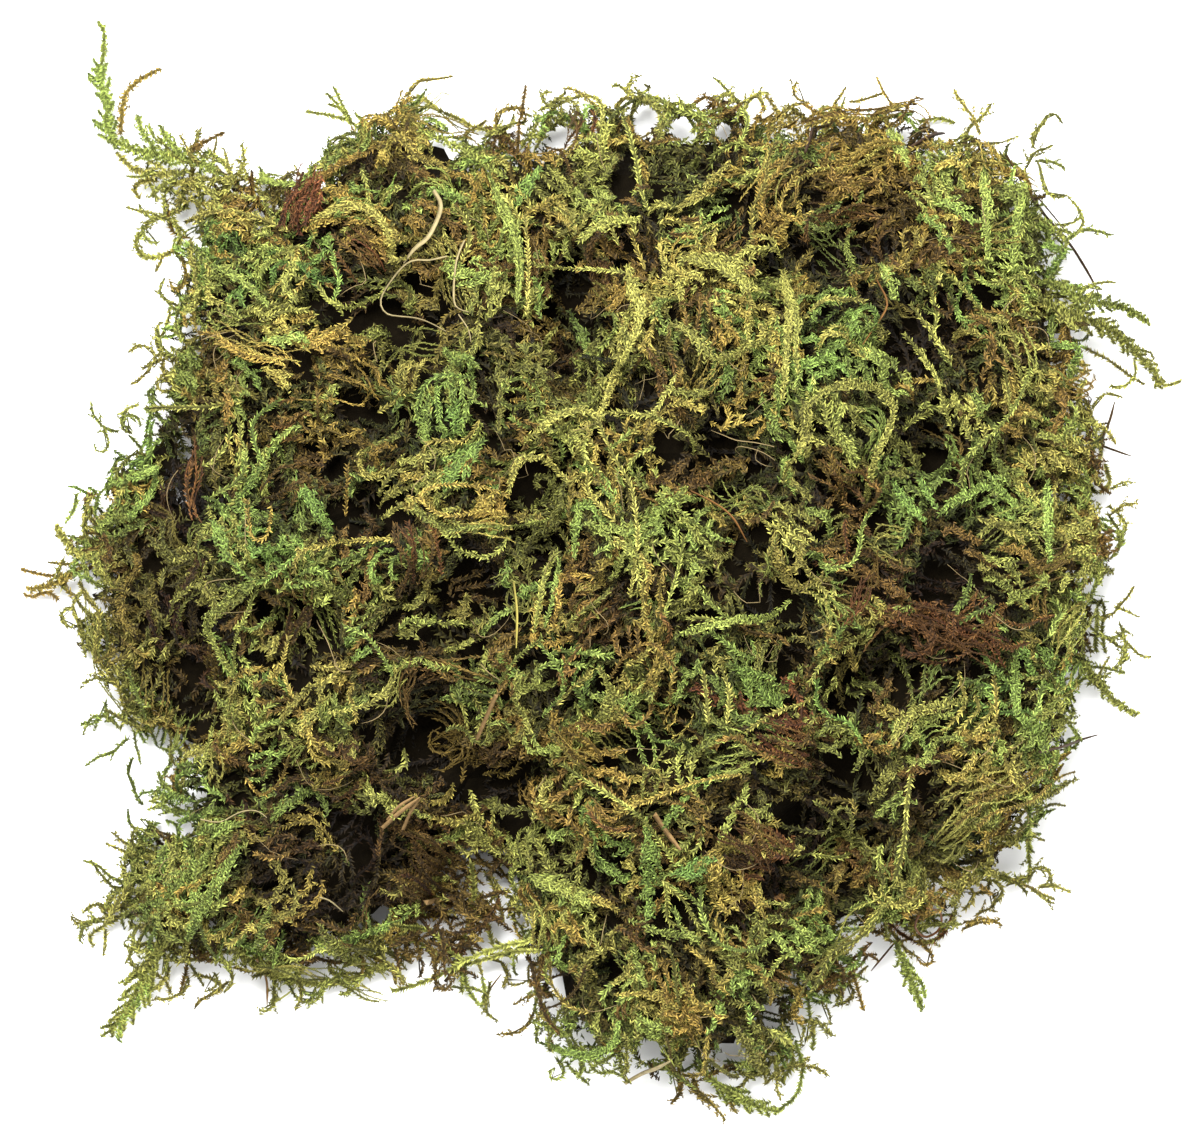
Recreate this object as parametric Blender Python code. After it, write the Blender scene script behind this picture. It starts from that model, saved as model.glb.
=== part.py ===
# A loose clump of dried feather moss, lying flat: tufts packed side by side, fronds and
# wisps that stick out of them onto the surface, and the twigs, needles and grass caught in it.
# Sizes and places below are in millimetres; the finished objects are in metres, +Z up.

import math

import bmesh
import bpy
from mathutils import Matrix, Vector, noise
from mathutils.bvhtree import BVHTree

MM = 0.001

CLUMP_HEIGHT = 64.0  # middle of the clump, to the tips of the moss
RIM_HEIGHT = 18.0  # where the clump turns down to the surface at its edge
RISE_DISTANCE = 62.0  # from the edge inwards to full height
RISE_POWER = 0.6
FOLD_DEPTH = 12.0  # how far a tuft rolls down into the fold beside it
TUFT_GAP = 0.8  # between the sides of neighbouring tufts
TUFT_SIDES = 20
LUMP_HEIGHT = 2.4
LUMP_SIZE = 17.0
LYING_GAP = 0.5  # between a caught twig or stem and the tuft below it
SETTLING_PASSES = 60
SETTLING_SAG = 0.05  # how far a caught stem bends between the points it rests on

# The clump's edge seen from above, without the wisps, counter-clockwise.
OUTLINE = [
    (102, 0), (101, 26), (97, 50), (90, 70), (80, 85), (60, 92), (42, 91), (20, 93), (-3, 94),
    (-20, 85), (-38, 94), (-62, 80), (-84, 70), (-86, 46), (-98, 24), (-105, 4), (-104, -18),
    (-92, -36), (-88, -56), (-96, -76), (-80, -79), (-58, -82), (-40, -76), (-27, -58),
    (-17, -76), (-11, -97), (14, -102), (34, -103), (42, -87), (56, -79), (72, -68), (86, -56),
    (96, -38), (99, -20),
]

# Each tuft: its middle seen from above, and its height as a share of the clump's there.
TUFTS = {
    "tuft_top_left": (-40, 76, 0.98),
    "tuft_top_middle": (-2, 72, 0.93),
    "tuft_top_right": (38, 77, 1.0),
    "tuft_top_right_corner": (73, 68, 1.02),
    "tuft_upper_left": (-66, 45, 0.95),
    "tuft_upper_middle_left": (-22, 42, 0.97),
    "tuft_upper_middle": (17, 43, 1.0),
    "tuft_upper_middle_right": (46, 37, 1.0),
    "tuft_upper_right": (80, 35, 0.97),
    "tuft_left": (-71, 2, 0.98),
    "tuft_left_flap": (-97, -6, 0.62),
    "tuft_middle_left": (-31, 8, 0.95),
    "tuft_middle": (2, -12, 1.04),
    "tuft_middle_right": (34, -2, 0.98),
    "tuft_right": (76, -4, 0.98),
    "tuft_lower_left_inner": (-50, -26, 0.93),
    "tuft_lower_left": (-68, -62, 0.86),
    "tuft_lower_middle": (22, -46, 0.98),
    "tuft_bottom": (14, -80, 0.94),
    "tuft_lower_right": (72, -42, 0.97),
}

# Each frond or wisp: route as (x, y, z), then its width and thickness in the middle.
FRONDS = {
    "frond_top_left": (
        [(-77, 79.5, 14), (-82, 82, 12), (-88, 84, 10), (-94, 85, 8), (-98.5, 88, 6),
         (-101, 94, 4), (-102, 100, 3), (-101, 106, 3), (-103, 111, 2.5)],
        5.0, 3.6,
    ),
    "wisp_left_upper": ([(-106, 6, 9), (-109, 7, 6), (-111, 10, 3), (-110, 14, 2.5)], 3.4, 2.8),
    "wisp_left_curly": ([(-106.8, -1, 8), (-111, -3, 5), (-115, -3.5, 2.5), (-118, -1.5, 2.2)], 3.0, 2.6),
    "frond_right": (
        [(98.6, 53, 18), (102, 51, 14), (106, 47, 9), (111, 43, 5), (115, 39, 3), (118, 36, 2.2)],
        4.6, 3.0,
    ),
    "wisp_right_upper": ([(101.8, 44, 9), (104, 42, 5), (107, 39, 3), (111, 37, 1.8)], 2.4, 2.0),
    "wisp_right_lower": ([(101.4, -23, 9), (104, -26, 5), (107, -28, 3), (111, -30, 2)], 3.2, 2.4),
    "frond_bottom_left": ([(-88, -80.5, 9), (-91, -85, 6), (-95, -90, 3.5), (-100, -95, 2)], 5.6, 3.2),
    "frond_bottom": ([(22, -105, 6.5), (26, -106.5, 4.6), (31, -108.8, 3.2), (36, -111, 2.2)], 5.0, 3.0),
    "frond_bottom_right": ([(62, -77.5, 9), (63, -82, 6), (65, -86, 4), (67, -91, 2.4)], 5.4, 3.2),
    "wisp_bottom": ([(44, -88, 8), (44, -92, 5), (43, -96, 3), (43, -100, 1.8)], 2.4, 2.0),
    "frond_top_spray": ([(-53.5, 88.5, 16), (-55, 92, 14), (-53, 95, 12), (-54, 99, 10)], 4.6, 2.8),
    "wisp_top": ([(-15.5, 88.6, 14), (-15, 92, 12), (-14, 96, 10), (-14, 99, 9)], 2.2, 2.0),
    "frond_notch": (
        [(-27, -61.5, 13), (-29, -66, 9), (-30, -71, 6), (-28, -76, 4), (-29, -82, 2.6)],
        5.0, 3.0,
    ),
}

# Each thing caught in the moss: route seen from above, width, thickness, sides. They lie on it.
CAUGHT = {
    "needle_dark": ([(81, 82), (85, 75), (91, 68), (95, 62), (98, 56.5)], 1.0, 1.0, 6),
    "grass_blade_tan": ([(-33, 74), (-32, 68), (-37, 62), (-41, 57)], 1.8, 0.6, 6),
    "grass_stem_pale": ([(-36, 60), (-43, 54), (-42, 50), (-33, 49), (-27, 47)], 0.9, 0.8, 6),
    "needle_brown": ([(-22, -24), (-23, -29), (-25, -35)], 1.0, 0.9, 6),
    "bark_sliver": ([(-41, -68), (-37, -67.5), (-33.5, -67)], 1.6, 1.0, 5),
    "twig_middle": ([(10, -49), (13, -52), (17, -56)], 1.5, 1.4, 6),
    "straw_bottom": ([(6, -105), (9.5, -102.5), (13, -100)], 1.7, 1.4, 6),
    "twig_right": ([(86, -37), (91, -38), (97, -36)], 1.3, 1.2, 6),
    "twig_top_right": ([(62, 84), (67, 87), (70, 88)], 1.4, 1.3, 6),
    "stalk_top": ([(41, 83), (42, 87), (43, 90)], 1.2, 1.1, 6),
    "bark_flake": ([(-43.5, -52), (-40, -49.5), (-36, -46.5)], 2.4, 1.1, 5),
    "grass_stem_lower_left": ([(-84, -50), (-76, -49), (-68, -52), (-61, -56)], 0.9, 0.8, 6),
}

COLOURS = {
    "moss": (0.18, 0.17, 0.045),
    "wisp": (0.30, 0.33, 0.10),
    "twig": (0.09, 0.045, 0.022),
    "straw": (0.52, 0.38, 0.18),
}
PALE_PIECES = ("grass_blade_tan", "grass_stem_pale", "straw_bottom", "grass_stem_lower_left")


def clear_scene():
    for old in list(bpy.data.objects):
        bpy.data.objects.remove(old, do_unlink=True)


def make_material(name, colour, roughness):
    material = bpy.data.materials.new(name)
    material.use_nodes = True
    shader = material.node_tree.nodes["Principled BSDF"]
    shader.inputs["Base Color"].default_value = (*colour, 1)
    shader.inputs["Roughness"].default_value = roughness
    shader.inputs["Metallic"].default_value = 0.0
    return material


def smooth_route(points, steps, closed=False):
    """Points on a Catmull-Rom curve through the given ones."""
    places = [Vector(p) for p in points]
    count = len(places)
    route = []
    for i in range(count if closed else count - 1):
        if closed:
            a, b, c, d = (places[(i + k) % count] for k in (-1, 0, 1, 2))
        else:
            b, c = places[i], places[i + 1]
            a = places[i - 1] if i else b + (b - c)
            d = places[i + 2] if i + 2 < count else c + (c - b)
        for step in range(steps):
            t = step / steps
            route.append(
                0.5 * (2 * b + (c - a) * t + (2 * a - 5 * b + 4 * c - d) * t**2
                       + (3 * b - a - 3 * c + d) * t**3)
            )
    if not closed:
        route.append(places[-1])
    return route


EDGE = smooth_route([(x, y) for x, y in OUTLINE], 4, closed=True)


def distance_to_edge(place):
    """How far a place seen from above lies inside the clump's edge."""
    nearest = math.inf
    for a, b in zip(EDGE, EDGE[1:] + EDGE[:1]):
        along = b - a
        share = max(0.0, min(1.0, (place - a).dot(along) / along.length_squared))
        nearest = min(nearest, (place - a - along * share).length)
    return nearest


def reach_to_edge(start, direction):
    """Where a line from start, seen from above, first leaves the clump."""
    reach = math.inf
    across = Vector((-direction.y, direction.x))
    for a, b in zip(EDGE, EDGE[1:] + EDGE[:1]):
        side_a, side_b = (a - start).dot(across), (b - start).dot(across)
        if (side_a > 0) == (side_b > 0):
            continue
        crossing = a + (b - a) * (side_a / (side_a - side_b))
        along = (crossing - start).dot(direction)
        if along > 0:
            reach = min(reach, along)
    return reach


def reach_to_neighbours(start, direction, others):
    """Where that line meets the gap half way to the nearest neighbour."""
    reach = math.inf
    for other in others:
        between = other - start
        towards = direction.dot(between.normalized())
        if towards > 0.01:
            reach = min(reach, (between.length / 2 - TUFT_GAP / 2) / towards)
    return reach


def clump_height(place):
    inside = min(distance_to_edge(place) / RISE_DISTANCE, 1.0)
    return RIM_HEIGHT + (CLUMP_HEIGHT - RIM_HEIGHT) * inside**RISE_POWER


def tuft_mesh(name):
    """A closed mound: a flat foot, sides that stand against the neighbours, and a rolled, lumpy top."""
    x, y, share = TUFTS[name]
    middle = Vector((x, y))
    others = [Vector(TUFTS[other][:2]) for other in TUFTS if other != name]
    reaches = []
    for i in range(TUFT_SIDES):
        angle = math.tau * i / TUFT_SIDES
        direction = Vector((math.cos(angle), math.sin(angle)))
        to_edge = reach_to_edge(middle, direction)
        to_others = reach_to_neighbours(middle, direction, others)
        reaches.append((direction, min(to_edge, to_others), to_edge < to_others))

    # Rings from the foot up to the crown: share of the reach, foot drawn in where it is free.
    rings = []
    for kind, spread in (("foot", 1.0), ("side", 1.0), ("top", 0.97), ("top", 0.86), ("top", 0.66),
                         ("top", 0.36)):
        ring = []
        for direction, reach, free in reaches:
            wide = spread * (0.9 if kind == "foot" and free else 1.0)
            place = middle + direction * reach * wide
            roll = FOLD_DEPTH * (1 - math.sqrt(1 - min(spread, 0.97) ** 2))
            top = share * clump_height(place) - roll
            if kind == "top":
                lump = LUMP_HEIGHT * noise.noise(Vector((place.x, place.y, 3.0)) / LUMP_SIZE)
                height = top + lump
            elif kind == "side":
                height = 0.45 * top
            else:
                height = 0.0
            ring.append(Vector((place.x, place.y, max(height, 0.0))))
        rings.append(ring)
    crown = share * clump_height(middle)
    return mesh_from_rings(name, rings, foot=Vector((x, y, 0)), tip=Vector((x, y, crown)))


def mesh_from_rings(name, rings, foot=None, tip=None):
    """Rings of points bridged into a closed skin, each end fanned to its own middle point."""
    mesh = bpy.data.meshes.new(name)
    bm = bmesh.new()
    loops = []
    for ring in rings:
        points = [bm.verts.new(p * MM) for p in ring]
        loops.append([bm.edges.new((a, b)) for a, b in zip(points, points[1:] + points[:1])])
    for below, above in zip(loops, loops[1:]):
        bmesh.ops.bridge_loops(bm, edges=below + above)
    for loop, ring, end in ((loops[0], rings[0], foot), (loops[-1], rings[-1], tip)):
        cap = bmesh.ops.contextual_create(bm, geom=loop)["faces"]
        fan = bmesh.ops.poke(bm, faces=cap)
        middle = end if end is not None else sum(ring, Vector((0, 0, 0))) / len(ring)
        fan["verts"][0].co = middle * MM
    bmesh.ops.triangulate(bm, faces=bm.faces[:])
    bmesh.ops.recalc_face_normals(bm, faces=bm.faces[:])
    bm.to_mesh(mesh)
    bm.free()
    return mesh


def swept_mesh(name, route, width, thickness, sides, widths):
    """An oval section carried along a route, level across, with each ring's own share of the width."""
    rings = []
    for i, place in enumerate(route):
        ahead = route[min(i + 1, len(route) - 1)] - route[max(i - 1, 0)]
        across = Vector((-ahead.y, ahead.x, 0)).normalized()
        up = ahead.normalized().cross(across)
        ring = []
        for side in range(sides):
            angle = math.tau * side / sides
            ring.append(
                place + across * (math.cos(angle) * width / 2 * widths[i])
                + up * (math.sin(angle) * thickness / 2 * widths[i])
            )
        rings.append(ring)
    return mesh_from_rings(name, rings)


def frond_mesh(name):
    """A frond tapers to its tip, and lies on the surface where it comes down to it."""
    points, width, thickness = FRONDS[name]
    route = smooth_route(points, 3)
    widths = [0.75 + 0.25 * math.sin(math.pi * i / (len(route) - 1)) for i in range(len(route))]
    last = len(route) - 1
    widths = [w * min(1.0, 0.3 + 2.4 * (last - i) / last) for i, w in enumerate(widths)]
    for place, share in zip(route, widths):
        place.z = max(place.z, thickness / 2 * share + 0.1)
    return swept_mesh(name, route, width, thickness, 6, widths)


def caught_mesh(name, tufts):
    """A twig, needle or blade of grass laid over the moss, just clear of every tuft below it."""
    points, width, thickness, sides = CAUGHT[name]
    route = smooth_route([(x, y, 0) for x, y in points], 3)
    heights = [highest_below(place, width, tufts) for place in route]
    laid = [max(heights)] * len(route)
    for _ in range(SETTLING_PASSES):
        for i, below in enumerate(heights):
            sides_mean = (laid[max(i - 1, 0)] + laid[min(i + 1, len(laid) - 1)]) / 2
            laid[i] = max(below, sides_mean - SETTLING_SAG)
    for place, height in zip(route, laid):
        place.z = height + thickness / 2 + LYING_GAP
    widths = [1.0] * len(route)
    widths[0] = widths[-1] = 0.55
    return swept_mesh(name, route, width, thickness, sides, widths)


def highest_below(place, width, tufts):
    """The top of the tufts under a strip as wide as the piece."""
    highest = 0.0
    for dx in (-width, 0, width):
        for dy in (-width, 0, width):
            above = Vector((place.x + dx, place.y + dy, 500)) * MM
            for tree in tufts:
                hit = tree.ray_cast(above, Vector((0, 0, -1)))[0]
                if hit:
                    highest = max(highest, hit.z / MM)
    return highest


def add_object(name, mesh, material):
    piece = bpy.data.objects.new(name, mesh)
    bpy.context.scene.collection.objects.link(piece)
    mesh.materials.append(material)
    mesh.shade_smooth()
    mesh.set_sharp_from_angle(angle=math.radians(50))
    return piece


def centre_on_origin():
    """Moves every mesh so that the whole object's box stands centred on the origin."""
    meshes = [piece.data for piece in bpy.data.objects]
    points = [vertex.co for mesh in meshes for vertex in mesh.vertices]
    low = Vector([min(p[axis] for p in points) for axis in range(3)])
    high = Vector([max(p[axis] for p in points) for axis in range(3)])
    offset = Vector((-(low.x + high.x) / 2, -(low.y + high.y) / 2, -low.z))
    for mesh in meshes:
        mesh.transform(Matrix.Translation(offset))


def main():
    clear_scene()
    materials = {name: make_material(name, colour, 0.85) for name, colour in COLOURS.items()}
    trees = []
    for name in TUFTS:
        tuft = add_object(name, tuft_mesh(name), materials["moss"])
        trees.append(BVHTree.FromPolygons(
            [v.co.copy() for v in tuft.data.vertices], [p.vertices[:] for p in tuft.data.polygons]
        ))
    for name in FRONDS:
        add_object(name, frond_mesh(name), materials["wisp"])
    for name in CAUGHT:
        kind = "straw" if name in PALE_PIECES else "twig"
        add_object(name, caught_mesh(name, trees), materials[kind])
    centre_on_origin()


main()
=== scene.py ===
import math
import random

import bpy
from mathutils import Matrix, Vector, noise
from mathutils.bvhtree import BVHTree


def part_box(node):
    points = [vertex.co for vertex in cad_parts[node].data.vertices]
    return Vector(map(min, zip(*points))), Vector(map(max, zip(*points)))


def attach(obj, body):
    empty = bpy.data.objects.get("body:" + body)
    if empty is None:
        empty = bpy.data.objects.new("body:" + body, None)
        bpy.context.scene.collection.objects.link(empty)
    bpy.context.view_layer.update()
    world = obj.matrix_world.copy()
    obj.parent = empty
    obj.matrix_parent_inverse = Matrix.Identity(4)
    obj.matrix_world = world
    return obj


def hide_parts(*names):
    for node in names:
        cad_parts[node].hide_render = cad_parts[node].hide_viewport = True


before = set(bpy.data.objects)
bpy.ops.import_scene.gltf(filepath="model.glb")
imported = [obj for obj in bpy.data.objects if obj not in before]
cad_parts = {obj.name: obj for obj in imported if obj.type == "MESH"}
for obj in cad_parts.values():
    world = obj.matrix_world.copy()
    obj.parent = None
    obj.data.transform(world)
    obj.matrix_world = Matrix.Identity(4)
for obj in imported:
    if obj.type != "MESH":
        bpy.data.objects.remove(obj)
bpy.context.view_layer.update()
bpy.ops.object.select_all(action="DESELECT")
mm = 0.001
up = Vector((0, 0, 1))
tuftNames = sorted(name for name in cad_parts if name.startswith("tuft"))
print("frame:", len(tuftNames), "tufts,", len(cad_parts), "nodes")


# camera, floor and light

view = {"height": 2.0, "width": 0.240, "focus": 0.030, "sensor": 36.0, "farthest": 30.0}  # m, sensor in mm
floorLook = {"size": 12.0, "drop": 0.0002, "colour": (0.93, 0.93, 0.925), "roughness": 0.9}
lamps = {
    "keyLamp": {"place": (-0.22, 0.50, 1.15), "size": 0.6, "power": 43.0},
    "fillLamp": {"place": (0.9, -0.45, 0.9), "size": 0.9, "power": 10.0},
}
roomLight = 1.12


def makeCamera():
    camera = bpy.data.objects.new("camera", bpy.data.cameras.new("camera"))
    bpy.context.scene.collection.objects.link(camera)
    camera.location = (0, 0, view["height"])
    camera.data.sensor_width = view["sensor"]
    camera.data.lens = view["sensor"] * (view["height"] - view["focus"]) / view["width"]
    camera.data.clip_end = view["farthest"]
    bpy.context.scene.camera = camera


def makeFloor():
    bpy.ops.mesh.primitive_plane_add(size=floorLook["size"], location=(0, 0, -floorLook["drop"]))
    floor = bpy.context.object
    floor.name = "floor"
    material = bpy.data.materials.new("paleFloor")
    material.use_nodes = True
    shader = material.node_tree.nodes["Principled BSDF"]
    shader.inputs["Base Color"].default_value = (*floorLook["colour"], 1)
    shader.inputs["Roughness"].default_value = floorLook["roughness"]
    floor.data.materials.append(material)
    floor.select_set(False)


def makeLamps():
    for name, lamp in lamps.items():
        light = bpy.data.lights.new(name, "AREA")
        light.energy = lamp["power"]
        light.size = lamp["size"]
        holder = bpy.data.objects.new(name, light)
        bpy.context.scene.collection.objects.link(holder)
        holder.location = lamp["place"]
        holder.rotation_euler = Vector(lamp["place"]).to_track_quat("Z", "Y").to_euler()
    world = bpy.data.worlds.new("studio")
    world.use_nodes = True
    world.node_tree.nodes["Background"].inputs["Strength"].default_value = roomLight
    world.node_tree.nodes["Background"].inputs["Color"].default_value = (1, 1, 1, 1)
    bpy.context.scene.world = world
    bpy.context.scene.view_settings.view_transform = "Standard"


makeCamera()
makeFloor()
makeLamps()
print("camera, floor and lamps")


# node helpers

def addNode(tree, kind, wires=None, **settings):
    node = tree.nodes.new(kind)
    for key, value in settings.items():
        setattr(node, key, value)
    for key, value in (wires or {}).items():
        if isinstance(value, bpy.types.NodeSocket):
            tree.links.new(value, node.inputs[key])
        else:
            node.inputs[key].default_value = value
    return node


def mathNode(tree, operation, *values):
    return addNode(tree, "ShaderNodeMath", dict(enumerate(values)), operation=operation).outputs[0]


def randomNode(tree, low, high, seed):
    return addNode(tree, "FunctionNodeRandomValue", {2: low, 3: high, "Seed": seed}).outputs[1]


def fillRamp(node, stops):
    ramp = node.color_ramp
    while len(ramp.elements) > 1:
        ramp.elements.remove(ramp.elements[-1])
    ramp.elements[0].position = stops[0][0]
    ramp.elements[0].color = (*stops[0][1], 1)
    for position, colour in stops[1:]:
        ramp.elements.new(position).color = (*colour, 1)


# materials

mossTones = [  # hue attribute, from rust through ochre and olive to emerald
    (0.00, (0.195, 0.066, 0.024)),
    (0.13, (0.210, 0.098, 0.026)),
    (0.26, (0.230, 0.140, 0.034)),
    (0.40, (0.420, 0.285, 0.058)),
    (0.52, (0.430, 0.400, 0.090)),
    (0.64, (0.345, 0.370, 0.078)),
    (0.76, (0.305, 0.390, 0.082)),
    (0.88, (0.235, 0.350, 0.070)),
    (1.00, (0.165, 0.285, 0.062)),
]
leafLook = {  # the shades multiply the tone: painted shade at a leaf's foot, a painted highlight at its tip, and darkening on old shoots
    "roughness": 0.7, "sheen": 0.15,
    "shades": {"Foot Painted Shade": 0.085, "Tip Painted Highlight": 1.14, "Age Darkening": 0.75},
}


def mossToneGroup():
    tree = bpy.data.node_groups.new("mossTone", "ShaderNodeTree")
    for name, value in leafLook["shades"].items():
        socket = tree.interface.new_socket(name, in_out="INPUT", socket_type="NodeSocketFloat")
        socket.default_value = value
    tree.interface.new_socket("Color", in_out="OUTPUT", socket_type="NodeSocketColor")
    start = tree.nodes.new("NodeGroupInput")
    end = tree.nodes.new("NodeGroupOutput")
    hue, shade, tip, age = (addNode(tree, "ShaderNodeAttribute", attribute_name=name).outputs["Fac"]
                            for name in ("hue", "shade", "tip", "age"))
    tones = addNode(tree, "ShaderNodeValToRGB", {"Fac": hue})
    fillRamp(tones, mossTones)
    # painted shade at the leaf's foot, rising to a painted highlight at its tip
    footShadeToTipHighlight = addNode(tree, "ShaderNodeMapRange", {
        "Value": tip, "To Min": start.outputs["Foot Painted Shade"], "To Max": start.outputs["Tip Painted Highlight"]}).outputs[0]
    worn = mathNode(tree, "MULTIPLY", age, start.outputs["Age Darkening"])
    light = mathNode(tree, "MULTIPLY", footShadeToTipHighlight, shade)
    light = mathNode(tree, "MULTIPLY", light, mathNode(tree, "SUBTRACT", 1.0, worn))
    colour = addNode(tree, "ShaderNodeVectorMath", {0: tones.outputs["Color"], "Scale": light},
                     operation="SCALE")
    tree.links.new(colour.outputs[0], end.inputs["Color"])
    return tree


def mossMaterial(name, look):
    material = bpy.data.materials.new(name)
    material.use_nodes = True
    tree = material.node_tree
    shader = tree.nodes["Principled BSDF"]
    tone = addNode(tree, "ShaderNodeGroup", node_tree=mossTone)
    for key, value in look["shades"].items():
        tone.inputs[key].default_value = value
    tree.links.new(tone.outputs["Color"], shader.inputs["Base Color"])
    shader.inputs["Roughness"].default_value = look["roughness"]
    shader.inputs["Specular IOR Level"].default_value = look["sheen"]
    return material


mossTone = mossToneGroup()
leafFinish = mossMaterial("dryMoss", leafLook)

plainLooks = {  # colour, roughness, grains to the metre
    # the felt's near-black colour is painted shadow over the dark brown of old stems
    "oldStemFelt": ((0.005, 0.0035, 0.0015), 1.0, 900.0),
    "darkTwig": ((0.05, 0.030, 0.018), 0.7, 1200.0),
    "paleStraw": ((0.27, 0.22, 0.11), 0.6, 700.0),
    "paleFibre": ((0.20, 0.15, 0.07), 0.6, 700.0),
    "lightBark": ((0.20, 0.125, 0.052), 0.7, 900.0),
}
mottling = {"dark": 0.45, "light": 1.5, "detail": 3.0, "bump": 0.0002, "sheen": 0.06}


def plainFinish(name, colour, roughness, grain):
    material = bpy.data.materials.new(name)
    material.use_nodes = True
    tree = material.node_tree
    shader = tree.nodes["Principled BSDF"]
    place = tree.nodes.new("ShaderNodeTexCoord").outputs["Object"]
    speckle = addNode(tree, "ShaderNodeTexNoise", {
        "Vector": place, "Scale": grain, "Detail": mottling["detail"]})
    blend = addNode(tree, "ShaderNodeMix", {0: speckle.outputs["Fac"]}, data_type="RGBA")
    blend.inputs[6].default_value = (*[c * mottling["dark"] for c in colour], 1)
    blend.inputs[7].default_value = (*[min(c * mottling["light"], 1) for c in colour], 1)
    tree.links.new(blend.outputs[2], shader.inputs["Base Color"])
    bump = addNode(tree, "ShaderNodeBump", {
        "Height": speckle.outputs["Fac"], "Distance": mottling["bump"]})
    tree.links.new(bump.outputs["Normal"], shader.inputs["Normal"])
    shader.inputs["Roughness"].default_value = roughness
    shader.inputs["Specular IOR Level"].default_value = mottling["sheen"]
    return material


finishes = {name: plainFinish(name, *look) for name, look in plainLooks.items()}
print("materials")


# skin: the clump's outer shape, fused from the tufts, that the shoots are laid over

skinShape = {"voxel": 0.0026, "weld": 0.00001, "overlap": 0.0007, "smooth": 0.5, "smoothings": 3,
             "hollowsAbove": 8.0, "keptHeight": 0.5}  # hollows start at that height in mm, keep that share
hollows = [  # (x, y, radius, depth) in mm: hollows between the rolls of moss, sunk into the skin; toneAt paints shade onto the shoots in them
    (-6, 47, 8, 20), (-4, 55, 6, 13), (6, 34, 5, 12), (12, 24, 4, 8), (-12, 15, 6, 13), (-10, 4, 6, 13),
    (-33, -35, 8, 18), (-26, -42, 8, 14), (37, -8, 7, 14), (37, -18, 7, 14), (49, -22, 7, 13),
    (58, -20, 6, 11), (65, 23, 6, 11), (50, 11, 5, 10), (-84, 26, 6, 5), (-85, 13, 7, 5),
    (-86, 3, 8, 5), (-90, -7, 9, 4), (-83, -13, 8, 4), (-84, -24, 7, 4), (-64, -8, 6, 12),
    (-45, 11, 6, 12), (-47, 29, 4, 9), (36, 61, 5, 12), (44, 61, 5, 12), (27, 71, 5, 9), (4, 63, 4, 7),
    (-40, 50, 9, 12), (47, -56, 8, 14), (49, -43, 6, 10), (14, -69, 4, 6), (13, -52, 4, 7),
    (2, -83, 4, 5), (-57, -51, 9, 10), (-62, -63, 6, 5), (-50, -62, 8, 6), (-8, -56, 5, 8),
    (-27, -5, 7, 10), (58, 44, 6, 12), (-55, 22, 4, 7), (-34, -27, 5, 8), (70, -2, 6, 8),
    (-72, -47, 5, 7), (24, 20, 5, 7), (-20, 37, 6, 8), (30, 3, 5, 7), (66, 55, 6, 8), (52, 66, 7, 8),
]


def hollowness(x, y, spread):
    return max(math.exp(-((x - hx) ** 2 + (y - hy) ** 2) / (radius * spread) ** 2)
               for hx, hy, radius, _ in hollows)


gaps = [  # (x, y, radius) in mm: places where the floor shows through
    (4.5, 76.5, 3.2), (-31, 84.5, 3.4), (-7.5, 86.5, 3.0), (9, 90.5, 3.0), (16.5, 88.5, 2.6),
    (38, -49, 3.4), (-7.5, -84.5, 3.2), (-9.5, -88.5, 1.8), (10, -97.5, 3.0), (18, -98.5, 2.0),
    (27.5, -97.5, 3.2), (23.5, -99.5, 2.2), (70.5, 88.5, 2.8), (34.5, -91, 2.4), (-2, -95.5, 1.6),
    (-48, -58, 2.2), (-44.5, -70, 2.2), (62, 86, 2.6), (84, -59, 2.2), (-83, 71, 2.2), (25, 88, 2.2),
]
gapCutter = {"corners": 10, "depth": 0.2, "middle": 0.05}


def makeSkin():
    copies = []
    for name in tuftNames:
        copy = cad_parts[name].copy()
        copy.data = copy.data.copy()
        copy.parent = None
        copy.hide_render = False
        bpy.context.scene.collection.objects.link(copy)
        copies.append(copy)
    bpy.ops.object.select_all(action="DESELECT")
    for copy in copies:
        copy.select_set(True)
    bpy.context.view_layer.objects.active = copies[0]
    bpy.ops.object.join()
    skin = bpy.context.object
    skin.name = "skin"
    for key in list(skin.keys()):
        del skin[key]
    bpy.ops.object.mode_set(mode="EDIT")
    bpy.ops.mesh.select_all(action="SELECT")
    bpy.ops.mesh.remove_doubles(threshold=skinShape["weld"])
    bpy.ops.mesh.normals_make_consistent(inside=False)
    bpy.ops.transform.shrink_fatten(value=skinShape["overlap"])
    bpy.ops.object.mode_set(mode="OBJECT")
    applyModifier(skin, "REMESH", mode="VOXEL", voxel_size=skinShape["voxel"])
    bpy.ops.object.select_all(action="DESELECT")
    for x, y, radius in gaps:
        bpy.ops.mesh.primitive_cylinder_add(
            vertices=gapCutter["corners"], radius=radius * mm, depth=gapCutter["depth"],
            location=(x * mm, y * mm, gapCutter["middle"]))
        cutter = bpy.context.object
        applyModifier(skin, "BOOLEAN", operation="DIFFERENCE", object=cutter, solver="EXACT")
        bpy.data.objects.remove(cutter)
    applyModifier(skin, "REMESH", mode="VOXEL", voxel_size=skinShape["voxel"])
    applyModifier(skin, "SMOOTH", factor=skinShape["smooth"], iterations=skinShape["smoothings"])
    for vertex in skin.data.vertices:
        place = vertex.co / mm
        if place.z < skinShape["hollowsAbove"]:
            continue
        sunk = 0.0
        for x, y, radius, deep in hollows:
            away = math.hypot(place.x - x, place.y - y) / radius
            sunk = max(sunk, deep * math.exp(-away * away))
        vertex.co.z = max(place.z - sunk, place.z * skinShape["keptHeight"]) * mm
    return skin


def applyModifier(piece, kind, **settings):
    bpy.ops.object.select_all(action="DESELECT")
    piece.select_set(True)
    bpy.context.view_layer.objects.active = piece
    modifier = piece.modifiers.new(kind.lower(), kind)
    for key, value in settings.items():
        setattr(modifier, key, value)
    bpy.ops.object.modifier_apply(modifier=modifier.name)
    piece.select_set(False)


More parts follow.
